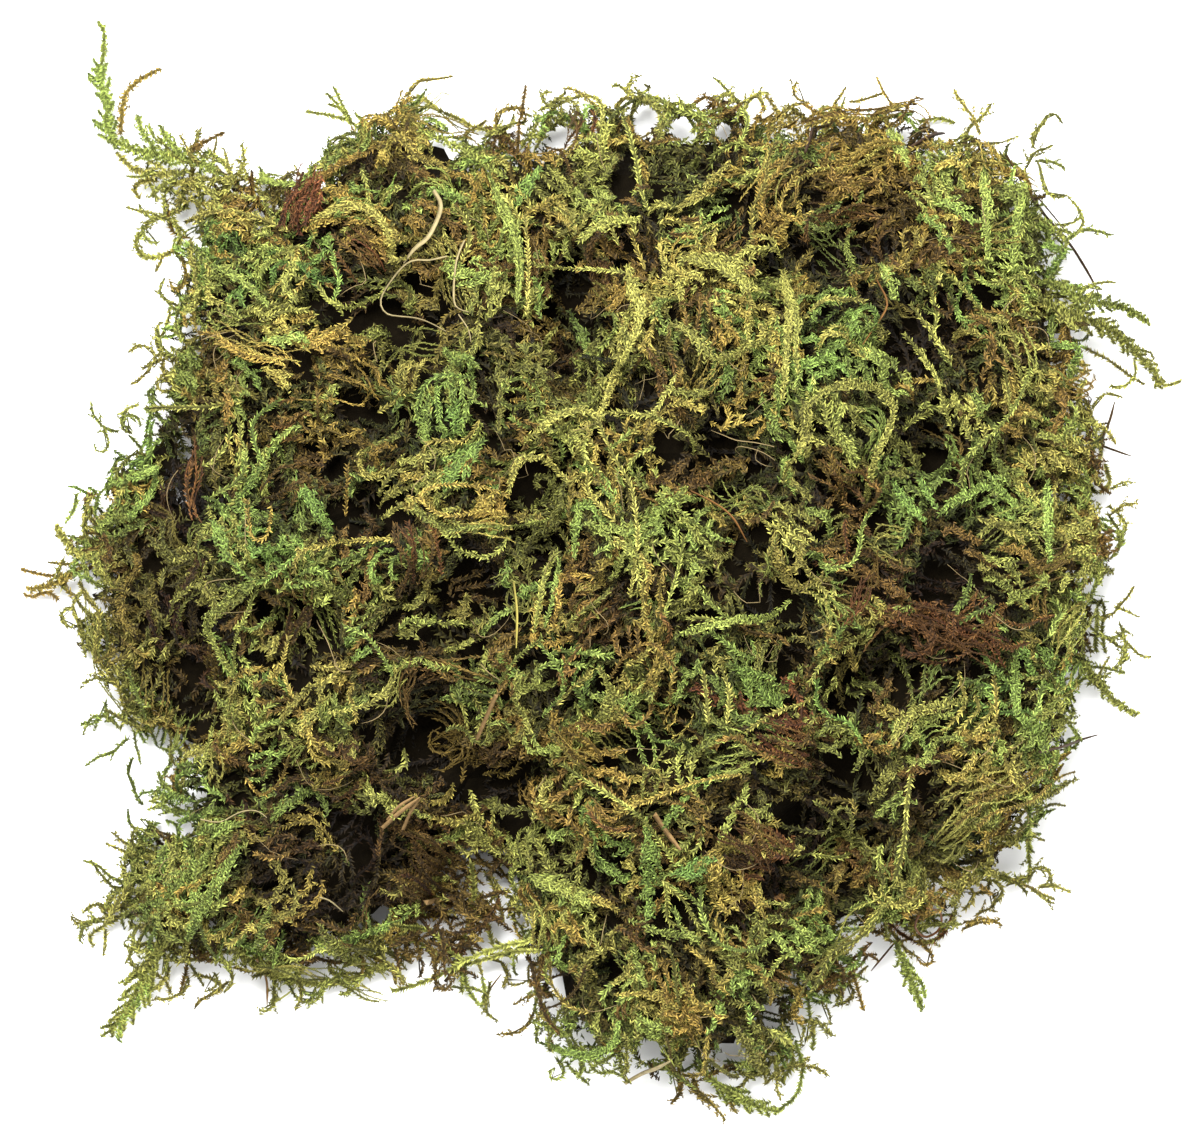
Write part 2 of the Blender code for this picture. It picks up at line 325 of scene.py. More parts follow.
skin = makeSkin()
skinTree = BVHTree.FromPolygons(
    [v.co.copy() for v in skin.data.vertices], [p.vertices[:] for p in skin.data.polygons])
print("skin:", len(skin.data.polygons), "faces")


# leaves, modelled once each

leafShapes = {  # mm
    "blade": {"length": 1.42, "width": 0.64},
    "broadBlade": {"length": 1.65, "width": 0.85},
    "smallBlade": {"length": 1.12, "width": 0.54},
    "needleBlade": {"length": 1.15, "width": 0.35},
    "oldBlade": {"length": 1.55, "width": 0.76},
}


# a pointed blade standing on the origin, its face towards +X
def makeLeaf(name, shape):
    bpy.ops.mesh.primitive_circle_add(
        vertices=3, radius=shape["width"] * mm, fill_type="NGON", location=(0, 0, 0))
    leaf = bpy.context.object
    leaf.name = name
    top = max(vertex.co.y for vertex in leaf.data.vertices)
    tips = [v.index for v in leaf.data.vertices if v.co.y > 0]
    feet = [v.index for v in leaf.data.vertices if v.co.y <= 0]
    pickVertices(leaf, feet)
    foot = min(vertex.co.y for vertex in leaf.data.vertices)
    bpy.ops.transform.resize(value=(1 / math.sqrt(3), 1, 1), center_override=(0, foot, 0))
    bpy.ops.transform.translate(value=(0, -foot, 0))
    pickVertices(leaf, tips)
    bpy.ops.transform.translate(value=(0, shape["length"] * mm - top, 0))
    bpy.ops.mesh.select_all(action="SELECT")
    bpy.ops.transform.rotate(value=math.pi / 2, orient_axis="X", center_override=(0, 0, 0))
    bpy.ops.transform.rotate(value=math.pi / 2, orient_axis="Z", center_override=(0, 0, 0))
    bpy.ops.object.mode_set(mode="OBJECT")
    tipShare = leaf.data.attributes.new("tip", "FLOAT", "POINT")
    for vertex, item in zip(leaf.data.vertices, tipShare.data):
        item.value = abs(vertex.co.z) / (shape["length"] * mm)
    leaf.hide_render = True
    leaf.select_set(False)
    return leaf


def pickVertices(piece, chosen):
    bpy.ops.object.mode_set(mode="EDIT")
    bpy.ops.mesh.select_mode(type="VERT")
    bpy.ops.mesh.select_all(action="DESELECT")
    bpy.ops.object.mode_set(mode="OBJECT")
    for index in chosen:
        piece.data.vertices[index].select = True
    bpy.ops.object.mode_set(mode="EDIT")


leaves = {name: makeLeaf(name, shape) for name, shape in leafShapes.items()}
print("leaves:", ", ".join(leaves))


# geometry nodes that dress a bare route with leaves and a stem

dressings = {  # mm: leaf spacing, stem radius, stem step; radians: lean of the leaves from the stem
    # the last number places the stem on the leaves' ramp from painted foot shade to painted tip highlight:
    # leafy stems sit low, as painted shade between their leaves
    "cord": {"leaf": "blade", "spacing": 0.25, "stem": 0.28, "step": 2.8, "lean": 0.76, "stemPaintedShade": 0.10},
    "lush": {"leaf": "broadBlade", "spacing": 0.14, "stem": 0.26, "step": 1.6, "lean": 0.9, "stemPaintedShade": 0.2},
    "fine": {"leaf": "smallBlade", "spacing": 0.26, "stem": 0, "step": 2.0, "lean": 0.72, "stemPaintedShade": 0.1},
    "strand": {"leaf": "needleBlade", "spacing": 0.36, "stem": 0.15, "step": 2.2, "lean": 0.42,
               "stemPaintedShade": 0.35},
    "old": {"leaf": "oldBlade", "spacing": 0.42, "stem": 0.0, "step": 2.4, "lean": 0.85, "stemPaintedShade": 0.1},
    "bare": {"leaf": None, "spacing": 1.0, "stem": 0.5, "step": 1.2, "lean": 0.0, "stemPaintedShade": 0.6},
}
leafRows = 3
rowTurn = math.tau / leafRows
leafFlatness = 1.25  # radians the side leaves roll, so that their faces look up
leafSeat = 0.8  # share of the stem's radius at which a leaf starts
leafVariety = {"shade": 0.5, "turn": 0.55, "lean": 0.30, "roll": 0.5, "smallest": 0.75, "largest": 1.2}
leafSize = {"always": 0.65, "byThickness": 0.35}


def turnLocally(tree, rotation, axis, angle):
    euler = addNode(tree, "ShaderNodeCombineXYZ", {axis: angle}).outputs[0]
    euler = addNode(tree, "FunctionNodeEulerToRotation", {0: euler}).outputs[0]
    return addNode(tree, "FunctionNodeRotateRotation", {0: rotation, 1: euler},
                   rotation_space="LOCAL").outputs[0]


def storeValue(tree, geometry, name, value):
    return addNode(tree, "GeometryNodeStoreNamedAttribute",
                   {"Geometry": geometry, "Name": name, "Value": value},
                   data_type="FLOAT", domain="POINT").outputs[0]


def stemNodes(tree, dressing, curve, thick):
    line = addNode(tree, "GeometryNodeResampleCurve",
                   {"Curve": curve, "Length": dressing["step"] * mm}, mode="LENGTH").outputs[0]
    section = addNode(tree, "GeometryNodeCurvePrimitiveCircle",
                      {"Resolution": 3, "Radius": dressing["stem"] * mm}).outputs[0]
    stem = addNode(tree, "GeometryNodeCurveToMesh", {
        "Curve": line, "Profile Curve": section, "Scale": thick, "Fill Caps": True}).outputs[0]
    # the stem's place on the painted shade-to-highlight ramp
    return storeValue(tree, stem, "tip", dressing["stemPaintedShade"])


def leafNodes(tree, dressing, curve, thick, shade):
    along = addNode(tree, "GeometryNodeCurveToPoints",
                    {"Curve": curve, "Length": dressing["spacing"] * mm}, mode="LENGTH")
    ownShade = randomNode(tree, 1 - leafVariety["shade"], 1 + leafVariety["shade"], 5)
    points = storeValue(tree, along.outputs["Points"], "shade", mathNode(tree, "MULTIPLY", shade, ownShade))

    # round the stem in rows, each leaf a little off its row
    index = tree.nodes.new("GeometryNodeInputIndex").outputs[0]
    turn = mathNode(tree, "MULTIPLY_ADD", index, rowTurn, -math.pi / 2)
    turn = mathNode(tree, "ADD", turn, randomNode(tree, -leafVariety["turn"], leafVariety["turn"], 1))
    lean = randomNode(tree, dressing["lean"] - leafVariety["lean"], dressing["lean"] + leafVariety["lean"], 2)
    flat = mathNode(tree, "MULTIPLY", mathNode(tree, "COSINE", turn), leafFlatness)
    roll = mathNode(tree, "ADD", flat, randomNode(tree, -leafVariety["roll"], leafVariety["roll"], 4))
    rotation = addNode(tree, "FunctionNodeAxesToRotation", {
        "Primary Axis": along.outputs["Tangent"], "Secondary Axis": along.outputs["Normal"]},
        primary_axis="Z", secondary_axis="X").outputs[0]
    rotation = turnLocally(tree, rotation, "Z", turn)

    # out to the stem's side, then leaning and rolled
    reach = mathNode(tree, "MULTIPLY", thick, dressing["stem"] * mm * leafSeat)
    outward = addNode(tree, "ShaderNodeCombineXYZ", {"X": reach}).outputs[0]
    outward = addNode(tree, "FunctionNodeRotateVector",
                      {"Vector": outward, "Rotation": rotation}).outputs[0]
    points = addNode(tree, "GeometryNodeSetPosition", {"Geometry": points, "Offset": outward}).outputs[0]
    rotation = turnLocally(tree, rotation, "Y", lean)
    rotation = turnLocally(tree, rotation, "Z", roll)
    grow = randomNode(tree, leafVariety["smallest"], leafVariety["largest"], 3)
    size = mathNode(tree, "MULTIPLY_ADD", thick, leafSize["byThickness"], leafSize["always"])
    leaf = addNode(tree, "GeometryNodeObjectInfo",
                   {"Object": leaves[dressing["leaf"]]}).outputs["Geometry"]
    placed = addNode(tree, "GeometryNodeInstanceOnPoints", {
        "Points": points, "Instance": leaf, "Rotation": rotation,
        "Scale": mathNode(tree, "MULTIPLY", size, grow)}).outputs[0]
    return addNode(tree, "GeometryNodeRealizeInstances", {0: placed}).outputs[0]


def dressingTree(name, dressing):
    tree = bpy.data.node_groups.new(name, "GeometryNodeTree")
    tree.interface.new_socket("Geometry", in_out="INPUT", socket_type="NodeSocketGeometry")
    tree.interface.new_socket("Geometry", in_out="OUTPUT", socket_type="NodeSocketGeometry")
    start = tree.nodes.new("NodeGroupInput")
    end = tree.nodes.new("NodeGroupOutput")
    thick, shade = (addNode(tree, "GeometryNodeInputNamedAttribute", {"Name": key},
                            data_type="FLOAT").outputs[0] for key in ("thick", "shade"))
    curve = addNode(tree, "GeometryNodeMeshToCurve", {"Mesh": start.outputs[0]}).outputs[0]
    curve = addNode(tree, "GeometryNodeSetCurveNormal", {"Curve": curve}, mode="Z_UP").outputs[0]
    together = tree.nodes.new("GeometryNodeJoinGeometry")
    if dressing["stem"]:
        tree.links.new(stemNodes(tree, dressing, curve, thick), together.inputs[0])
    if dressing["leaf"]:
        tree.links.new(leafNodes(tree, dressing, curve, thick, shade), together.inputs[0])
    finish = addNode(tree, "GeometryNodeSetMaterial",
                     {"Geometry": together.outputs[0], "Material": leafFinish})
    tree.links.new(finish.outputs[0], end.inputs[0])
    return tree


dressingTrees = {name: dressingTree(name + "Dressing", dressing) for name, dressing in dressings.items()}
triangleCost = {"cord": 6.4, "fine": 3.9, "strand": 5.6, "old": 2.4}  # triangles for each mm of shoot
toneNames = ("thick", "hue", "shade", "age")


def routeMesh(name, shoots):
    places, edges = [], []
    tones = {key: [] for key in toneNames}
    for shoot in shoots:
        first = len(places)
        places.extend(shoot["points"])
        edges.extend((first + i, first + i + 1) for i in range(len(shoot["points"]) - 1))
        for key in toneNames:
            tones[key].extend(shoot[key])
    mesh = bpy.data.meshes.new(name)
    mesh.from_pydata(places, edges, [])
    for key, values in tones.items():
        mesh.attributes.new(key, "FLOAT", "POINT").data.foreach_set("value", values)
    route = bpy.data.objects.new(name, mesh)
    bpy.context.scene.collection.objects.link(route)
    return route


def dressShoots(name, shoots):
    parts = []
    for kind, tree in dressingTrees.items():
        chosen = [shoot for shoot in shoots if shoot["kind"] == kind]
        if not chosen:
            continue
        part = routeMesh(name + "_" + kind, chosen)
        applyModifier(part, "NODES", node_group=tree)
        parts.append(part)
    bpy.ops.object.select_all(action="DESELECT")
    for part in parts:
        part.select_set(True)
    bpy.context.view_layer.objects.active = parts[0]
    if len(parts) > 1:
        bpy.ops.object.join()
    piece = bpy.context.object
    piece.name = name
    piece.select_set(False)
    return piece


# laying the shoots

tuftFlow = {  # heading of most shoots in degrees, seen from above, and how far they stray from it
    "tuft_top_left": (-8, 34), "tuft_top_middle": (-65, 45), "tuft_top_right": (18, 22),
    "tuft_top_right_corner": (-48, 30), "tuft_upper_left": (-22, 36), "tuft_upper_middle_left": (-60, 48),
    "tuft_upper_middle": (78, 38), "tuft_upper_middle_right": (-75, 34), "tuft_upper_right": (-40, 38),
    "tuft_left": (70, 46), "tuft_left_flap": (78, 26), "tuft_middle_left": (10, 60),
    "tuft_middle": (58, 44), "tuft_middle_right": (-58, 46), "tuft_right": (-18, 50),
    "tuft_lower_left_inner": (28, 55), "tuft_lower_left": (50, 36), "tuft_lower_middle": (-6, 60),
    "tuft_bottom": (-62, 48), "tuft_lower_right": (52, 36),
}
tonePatchesAndPaintedShade = [  # (x, y, radius, hue, shade, share of the shoots there)
    (-30, 28, 11, 0.86, 0.80, 0.6), (-68, 10, 9, 0.88, 0.90, 0.5), (-92, 16, 8, 0.86, 0.95, 0.6),
    (-72, 63, 9, 0.96, 0.80, 0.6), (47, 52, 8, 0.86, 0.92, 0.7), (49, 43, 7, 0.86, 1.15, 0.8),
    (67, 14, 12, 0.84, 0.78, 0.5), (26, -24, 10, 0.84, 0.90, 0.5), (85, -27, 10, 0.88, 1.10, 0.6),
    (-82, -55, 10, 0.78, 0.78, 0.7), (2, -95, 10, 0.70, 0.95, 0.6), (83, 70, 11, 0.72, 1.25, 0.8),
    (32, -107, 9, 0.74, 1.10, 0.8), (22, -90, 14, 0.54, 0.75, 0.6), (8, 50, 9, 0.46, 1.15, 0.7),
    (-2, 24, 9, 0.42, 1.10, 0.5), (36, 54, 7, 0.46, 1.10, 0.6), (-63, 43, 11, 0.42, 1.10, 0.7),
    (58, 84, 20, 0.38, 1.05, 0.6), (22, 57, 9, 0.50, 1.20, 0.7), (-28, 12, 9, 0.42, 1.05, 0.6),
    (3, -62, 9, 0.46, 1.05, 0.5), (20, -85, 10, 0.40, 1.00, 0.5), (90, 32, 16, 0.50, 1.25, 0.6),
    (78, -48, 15, 0.48, 1.05, 0.6), (-60, 73, 5, 0.00, 1.00, 1.0), (36, -34, 8, 0.08, 0.85, 0.8),
    (58, -4, 9, 0.16, 0.75, 0.7), (72, -13, 10, 0.14, 0.85, 0.7), (-50, -17, 8, 0.24, 0.85, 0.6),
    (6, -16, 8, 0.22, 0.95, 0.6), (31, -60, 10, 0.14, 0.90, 0.7), (-30, 62, 16, 0.26, 0.85, 0.4),
    (70, 55, 12, 0.24, 0.85, 0.4), (-46, -60, 22, 0.24, 0.55, 0.6), (14, 64, 12, 0.28, 0.75, 0.4),
    # the two dark patches at x = -85 and -84 are painted shade in the left valley
    (-85, 8, 7, 0.20, 0.42, 0.85), (-84, -14, 7, 0.22, 0.42, 0.85), (20, 47, 7, 0.48, 0.70, 0.7),
    (-12, -40, 10, 0.30, 0.95, 0.4), (15, 8, 12, 0.70, 1.00, 0.5), (-55, -30, 12, 0.50, 1.00, 0.4),
    (-96, -20, 13, 0.54, 0.78, 0.6), (8, 88, 16, 0.62, 1.05, 0.5), (-40, 90, 14, 0.44, 0.95, 0.5),
]
laying = {  # mm; shares of a shoot's length for its dive and its lifted tip; waves in and out of the skin
    "step": 1.3, "dive": 5.5, "diveShare": 0.3, "tipShare": 0.35, "wave": (0.4, 1.9), "waveLength": 13.0,
    "highestTip": 4.0, "overFloor": 0.6, "gapEdge": 0.85, "fewest": 5,
}
layers = [  # share of a tuft's triangles, depth below the skin, ways of growing, lengths; the deeper layers' low shade is painted shade
    {"share": 0.19, "depth": (4.6, 8.0), "ways": {"sprigs": 0.75, "old": 0.25},
     "length": (5, 10), "aged": 0.8, "thick": (0.9, 1.4), "shade": 0.36, "avoid": 0.0},
    {"share": 0.31, "depth": (2.2, 5.2), "ways": {"sprigs": 0.3, "cords": 0.4, "plume": 0.3},
     "length": (6, 15), "aged": 0.45, "thick": (0.7, 1.2), "shade": 0.47, "avoid": 0.5},
    {"share": 0.50, "depth": (-0.6, 2.4),
     "ways": {"cords": 0.36, "strands": 0.08, "plume": 0.42, "single": 0.14},
     "length": (7, 21), "aged": 0.0, "thick": (0.65, 1.3), "shade": 0.99, "avoid": 0.78},
]
growing = {  # how many grow side by side, how far apart in mm, how much they wander
    "old": {"kind": "old", "number": (1, 3), "apart": 2.4, "wander": 0.5},
    "sprigs": {"kind": "fine", "number": (2, 5), "apart": 2.2, "wander": 0.5},
    "cords": {"kind": "cord", "number": (2, 4), "apart": 2.3, "wander": 0.38},
    "strands": {"kind": "strand", "number": (4, 7), "apart": 1.1, "wander": 0.3},
    "plume": {"kind": "cord", "number": (1, 2), "apart": 4.5, "wander": 0.24},
    "single": {"kind": "cord", "number": (1, 1), "apart": 0.0, "wander": 0.6},
}
bundle = {  # how the shoots of one bundle differ; mm, radians and shares
    "apart": (0.75, 1.25), "back": 3.5, "turn": 0.09, "depth": 0.6, "shorter": 4, "hue": 0.03,
    "shade": (0.85, 1.15), "thick": (0.85, 1.15), "singleLift": 1.6, "branched": 0.3,
}
budget = {  # triangles for all tufts, and how much the shoots thin out on steep and hidden faces
    "tufts": 810000, "underside": 0.09, "undersideBelow": -0.5, "sides": 0.5, "sidesBelow": 0.35,
}
drift = {  # how headings vary over a tuft; mm, radians and shares
    "stream": 22.0, "swirl": 1.3, "stray": 0.45, "reversed": 0.35, "steep": 0.5, "rise": 0.5,
    "hollowReach": 0.95, "sideLift": (0, 6), "topLift": (-2.0, 3.5), "sideBelow": 0.4,
}
toneChoice = {  # the live shoots' hues, a share of brown ones, and the painted shade that darkens and browns them in the hollows
    "hues": (0.43, 0.49, 0.54, 0.58, 0.63, 0.68, 0.74, 0.82), "hueSpread": 0.03, "shade": (0.6, 1.2),
    "brownShare": 0.16, "brownHue": (0.22, 0.37), "brownShade": 0.9,
    "patchReach": 1.6, "patchHueSpread": 0.06, "patchShade": (0.85, 1.12),
    "paintedShadeReach": 1.15, "paintedShadeBrowning": 0.25, "paintedShadeDarkening": 0.66,
    "age": (0.7, 1.2), "agedHue": 0.26, "agedShare": 0.45,
}


# hue and shade for a shoot by where it lies, with painted shade in the hollows
def toneAt(place, chance):
    choice = toneChoice
    hue = chance.choice(choice["hues"]) + chance.uniform(-choice["hueSpread"], choice["hueSpread"])
    shade = chance.uniform(*choice["shade"])
    if chance.random() < choice["brownShare"]:
        hue, shade = chance.uniform(*choice["brownHue"]), shade * choice["brownShade"]
    for x, y, radius, patchHue, patchShade, share in tonePatchesAndPaintedShade:
        away = math.hypot(place.x / mm - x, place.y / mm - y) / radius
        if away < choice["patchReach"] and chance.random() < share * math.exp(-away ** 3):
            hue = patchHue + chance.uniform(-choice["patchHueSpread"], choice["patchHueSpread"])
            shade = patchShade * chance.uniform(*choice["patchShade"])
    # painted shade: shoots in the hollows are darkened and browned
    paintedShadeAmount = hollowness(place.x / mm, place.y / mm, choice["paintedShadeReach"])
    return min(max(hue * (1 - choice["paintedShadeBrowning"] * paintedShadeAmount), 0.0), 1.0), shade * (1 - choice["paintedShadeDarkening"] * paintedShadeAmount)


def onSkin(place):
    near, normal, _, _ = skinTree.find_nearest(place)
    return near, normal


bends = {"start": 0.08, "kept": 0.8, "gust": 0.35}


def bendsAlong(count, wander, chance):
    turn, turns = chance.uniform(-bends["start"], bends["start"]), []
    for _ in range(count):
        turn = turn * bends["kept"] + chance.gauss(0, wander * bends["gust"])
        turns.append(turn)
    return turns


# comes up from below, waves, and lifts or sinks its tip
def depthsAlong(count, depth, dive, lift, chance):
    phase, wave = chance.uniform(0, math.tau), chance.uniform(*laying["wave"])
    waves = count * laying["step"] / laying["waveLength"]
    depths = []
    for i in range(count):
        along = i / (count - 1)
        below = depth + wave * math.sin(phase + along * waves * math.tau)
        below += dive * max(0.0, 1 - along / laying["diveShare"]) ** 2
        below -= lift * max(0.0, (along - (1 - laying["tipShare"])) / laying["tipShare"]) ** 2
        depths.append(below)
    return depths


def keepOverFloor(point):
    point.z = max(point.z, laying["overFloor"] * mm)
    return point


# a route over the skin, turning as it goes, at the given depths below it
def walk(place, heading, turns, depths):
    points = []
    for turn, depth in zip(turns, depths):
        near, normal = onSkin(place)
        points.append(keepOverFloor(near - normal * max(depth, -laying["highestTip"]) * mm))
        heading = Matrix.Rotation(turn, 3, normal) @ heading
        heading = (heading - normal * heading.dot(normal)).normalized()
        place = near + heading * laying["step"] * mm
    return points


shootForm = {  # towards the tip a shoot thins and lightens, at its foot it is older
    "tipThick": 0.45, "taper": 2.2, "footAge": 0.45, "footLength": 3.2, "footShade": 0.9, "tipShade": 0.22,
}


def shootFrom(points, kind, thick, hue, shade, age):
    form, count = shootForm, len(points)
    shares = [i / (count - 1) for i in range(count)]
    taper = [thick * min(1.0, form["tipThick"] + form["taper"] * (1 - share)) for share in shares]
    ages = [min(1.0, age + form["footAge"] * max(0.0, 1 - form["footLength"] * i / (count - 1)))
            for i in range(count)]
    lighter = [shade * (form["footShade"] + form["tipShade"] * i / (count - 1)) for i in range(count)]
    return {"kind": kind, "points": points, "thick": taper, "hue": [hue] * count, "shade": lighter,
            "age": ages}


def crossesGap(points):
    return any(math.hypot(point.x / mm - x, point.y / mm - y) < radius * laying["gapEdge"]
               for point in points for x, y, radius in gaps)


def lengthOf(points):
    return sum((b - a).length for a, b in zip(points, points[1:])) / mm


# side shoots: the clump is near within 6 mm; sizes, turns and tones vary within these bounds
branching = {
    "near": 6, "flatter": 0.7, "outward": 0.9, "apart": (0.7, 1.3), "least": 0.8, "size": (0.65, 1.15),
    "angle": (0.6, 0.95), "bend": (0.04, 0.16), "lift": (-0.22, 0.25), "step": 1.2, "hue": 0.025,
    "shade": (0.85, 1.15),
}


# the way a branching shoot's flat side faces: up, and away from the clump under it
def facing(place):
    near, normal = onSkin(place)
    closeness = max(0.0, 1 - (near - place).length / (branching["near"] * mm))
    upward = up * (1 - branching["flatter"] * closeness)
    return (upward + normal * branching["outward"] * closeness).normalized()


# longest near the foot, short at the foot itself and towards the tip
def branchSize(reach, along, chance):
    return reach * (1.15 - along) ** 0.6 * min(1.0, 0.35 + 3 * along) * chance.uniform(*branching["size"])


# short side shoots, left and right in turn along a stem
def branchShoots(points, hue, shade, age, chance, reach, spacing, thick, kind="fine"):
    made = []
    travelled, side, untilNext = 0.0, chance.choice((-1, 1)), spacing
    total = lengthOf(points)
    for a, b in zip(points, points[1:]):
        piece = (b - a).length / mm
        while travelled + piece > untilNext:
            start = a.lerp(b, (untilNext - travelled) / piece)
            along = untilNext / total
            untilNext += spacing * chance.uniform(*branching["apart"])
            size = branchSize(reach, along, chance)
            if size < branching["least"]:
                continue
            side = -side
            normal = facing(start)
            angle = side * chance.uniform(*branching["angle"])
            out = Matrix.Rotation(angle, 3, normal) @ (b - a).normalized()
            bend = -side * chance.uniform(*branching["bend"])
            lift = chance.uniform(*branching["lift"])
            place, branch = start.copy(), [start.copy()]
            steps = max(round(size / branching["step"]), 1)
            for _ in range(steps):
                out = Matrix.Rotation(bend, 3, normal) @ out
                place = keepOverFloor(place + (out + normal * lift).normalized() * size / steps * mm)
                branch.append(place.copy())
            ownHue = hue + chance.uniform(-branching["hue"], branching["hue"])
            ownShade = shade * chance.uniform(*branching["shade"])
            made.append(shootFrom(branch, kind, thick, ownHue, ownShade, age))
        travelled += piece
    return made


sidePlans = {  # how far side shoots reach and stand apart in mm, and how thick they are
    "plume": {"reach": (2.2, 4.4), "apart": (0.8, 1.2), "thick": 0.9},
    "cord": {"reach": (2.5, 5.0), "apart": (2.0, 3.5), "thick": 1.0},
    "handCord": {"reach": (2.0, 3.5), "apart": (2.5, 4.5), "thick": 0.8},
    "lace": {"reach": (1.8, 3.5), "apart": (1.0, 2.0), "thick": 0.8},
}
plumeStem = {"thick": 0.7, "shade": 0.9}


def plannedBranches(points, hue, shade, age, chance, plan):
    reach, apart = chance.uniform(*sidePlans[plan]["reach"]), chance.uniform(*sidePlans[plan]["apart"])
    return branchShoots(points, hue, shade, age, chance, reach, apart, sidePlans[plan]["thick"])


# one shoot or several side by side, sharing their bends and tone
def growShoots(way, centre, normal, heading, layer, chance, lift):
    grow = growing[way]
    count = max(int(chance.uniform(*layer["length"]) / laying["step"]), laying["fewest"])
    turns = bendsAlong(count, grow["wander"], chance)
    depth = chance.uniform(*layer["depth"]) - (bundle["singleLift"] if way == "single" else 0.0)
    depths = depthsAlong(count, depth, laying["dive"], lift, chance)
    hue, shade = toneAt(centre, chance)
    # painted shade: the deeper layers are darker
    shade *= layer["shade"]
    age = layer["aged"] * chance.uniform(*toneChoice["age"])
    agedShare = toneChoice["agedShare"]
    hue = hue * (1 - agedShare * age) + toneChoice["agedHue"] * agedShare * age
    number = chance.randint(*grow["number"])
    across = normal.cross(heading)
    thick = chance.uniform(*layer["thick"])
    made = []
    for k in range(number):
        sideways = (k - (number - 1) / 2) * grow["apart"] * chance.uniform(*bundle["apart"])
        start = centre + (across * sideways - heading * chance.uniform(0, bundle["back"])) * mm
        ownTurns = [turn + chance.gauss(0, bundle["turn"]) for turn in turns]
        shift = chance.uniform(-bundle["depth"], bundle["depth"])
        ownDepths = [below + shift for below in depths]
        end = count - chance.randint(0, count // bundle["shorter"])
        points = walk(start, heading, ownTurns[:end], ownDepths[:end])
        ownHue = hue + chance.uniform(-bundle["hue"], bundle["hue"])
        ownShade = shade * chance.uniform(*bundle["shade"])
        if way == "plume":
            stemShade = ownShade * plumeStem["shade"]
            made.append(shootFrom(points, "cord", plumeStem["thick"], ownHue, stemShade, age))
            made += plannedBranches(points, ownHue, ownShade, age, chance, "plume")
            continue
        ownThick = thick * chance.uniform(*bundle["thick"])
        made.append(shootFrom(points, grow["kind"], ownThick, ownHue, ownShade, age))
        if grow["kind"] == "cord" and chance.random() < bundle["branched"]:
            made += plannedBranches(points, ownHue, ownShade, age, chance, "cord")
    return made


# face middles of the skin with their weights, for each tuft
def seedPlaces():
    middles = {name: frameMiddle(name) for name in tuftNames}
    found = {name: [] for name in tuftNames}
    for polygon in skin.data.polygons:
        centre, normal = polygon.center, polygon.normal
        if normal.z < budget["undersideBelow"]:
            weight = budget["underside"]
        elif normal.z < budget["sidesBelow"]:
            weight = budget["sides"]
        else:
            weight = 1.0
        nearest = min(tuftNames, key=lambda name: (middles[name] - centre.xy).length_squared)
        found[nearest].append((centre.copy(), normal.copy(), weight * polygon.area))
    return found


def frameMiddle(name):
    low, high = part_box(name)
    return ((low + high) / 2).xy


def layTuft(name, places, triangles):
    chance = random.Random(name)
    flow, stray = tuftFlow[name]
    weights = [weight for _, _, weight in places]
    shoots = []
    for layer in layers:
        spent, allowed = 0.0, triangles * layer["share"]
        while spent < allowed:
            centre, normal, _ = chance.choices(places, weights)[0]
            hollow = hollowness(centre.x / mm, centre.y / mm, drift["hollowReach"])
            if chance.random() < layer["avoid"] * hollow:
                continue
            swirl = noise.noise(centre / (drift["stream"] * mm)) * drift["swirl"]
            angle = math.radians(flow) + swirl + chance.gauss(0, math.radians(stray) * drift["stray"])
            if chance.random() < drift["reversed"]:
                angle += math.pi
            heading = Vector((math.cos(angle), math.sin(angle), 0))
            if abs(normal.z) < drift["steep"]:
                heading = heading + up * chance.uniform(-drift["rise"], drift["rise"])
            heading = (heading - normal * heading.dot(normal)).normalized()
            lift = chance.uniform(*drift["sideLift" if normal.z < drift["sideBelow"] else "topLift"])
            way = chance.choices(list(layer["ways"]), list(layer["ways"].values()))[0]
            made = growShoots(way, centre, normal, heading, layer, chance, lift)
            made = [shoot for shoot in made if not crossesGap(shoot["points"])]
            spent += sum(lengthOf(shoot["points"]) * triangleCost[shoot["kind"]] for shoot in made)
            shoots += made
    return shoots


def finishPiece(piece, slot, *nodes):
    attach(piece, "root")
    if nodes:
        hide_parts(*nodes)
    return piece


def makeTufts():
    placesByTuft = seedPlaces()
    total = sum(weight for places in placesByTuft.values() for _, _, weight in places)
    for name in tuftNames:
        places = placesByTuft[name]
        share = sum(weight for _, _, weight in places) / total
        shoots = layTuft(name, places, budget["tufts"] * share)
        piece = dressShoots(name.replace("tuft", "moss"), shoots)
        finishPiece(piece, "moss", name)
        print(piece.name, len(shoots), "shoots,", len(piece.data.polygons), "faces")


makeTufts()
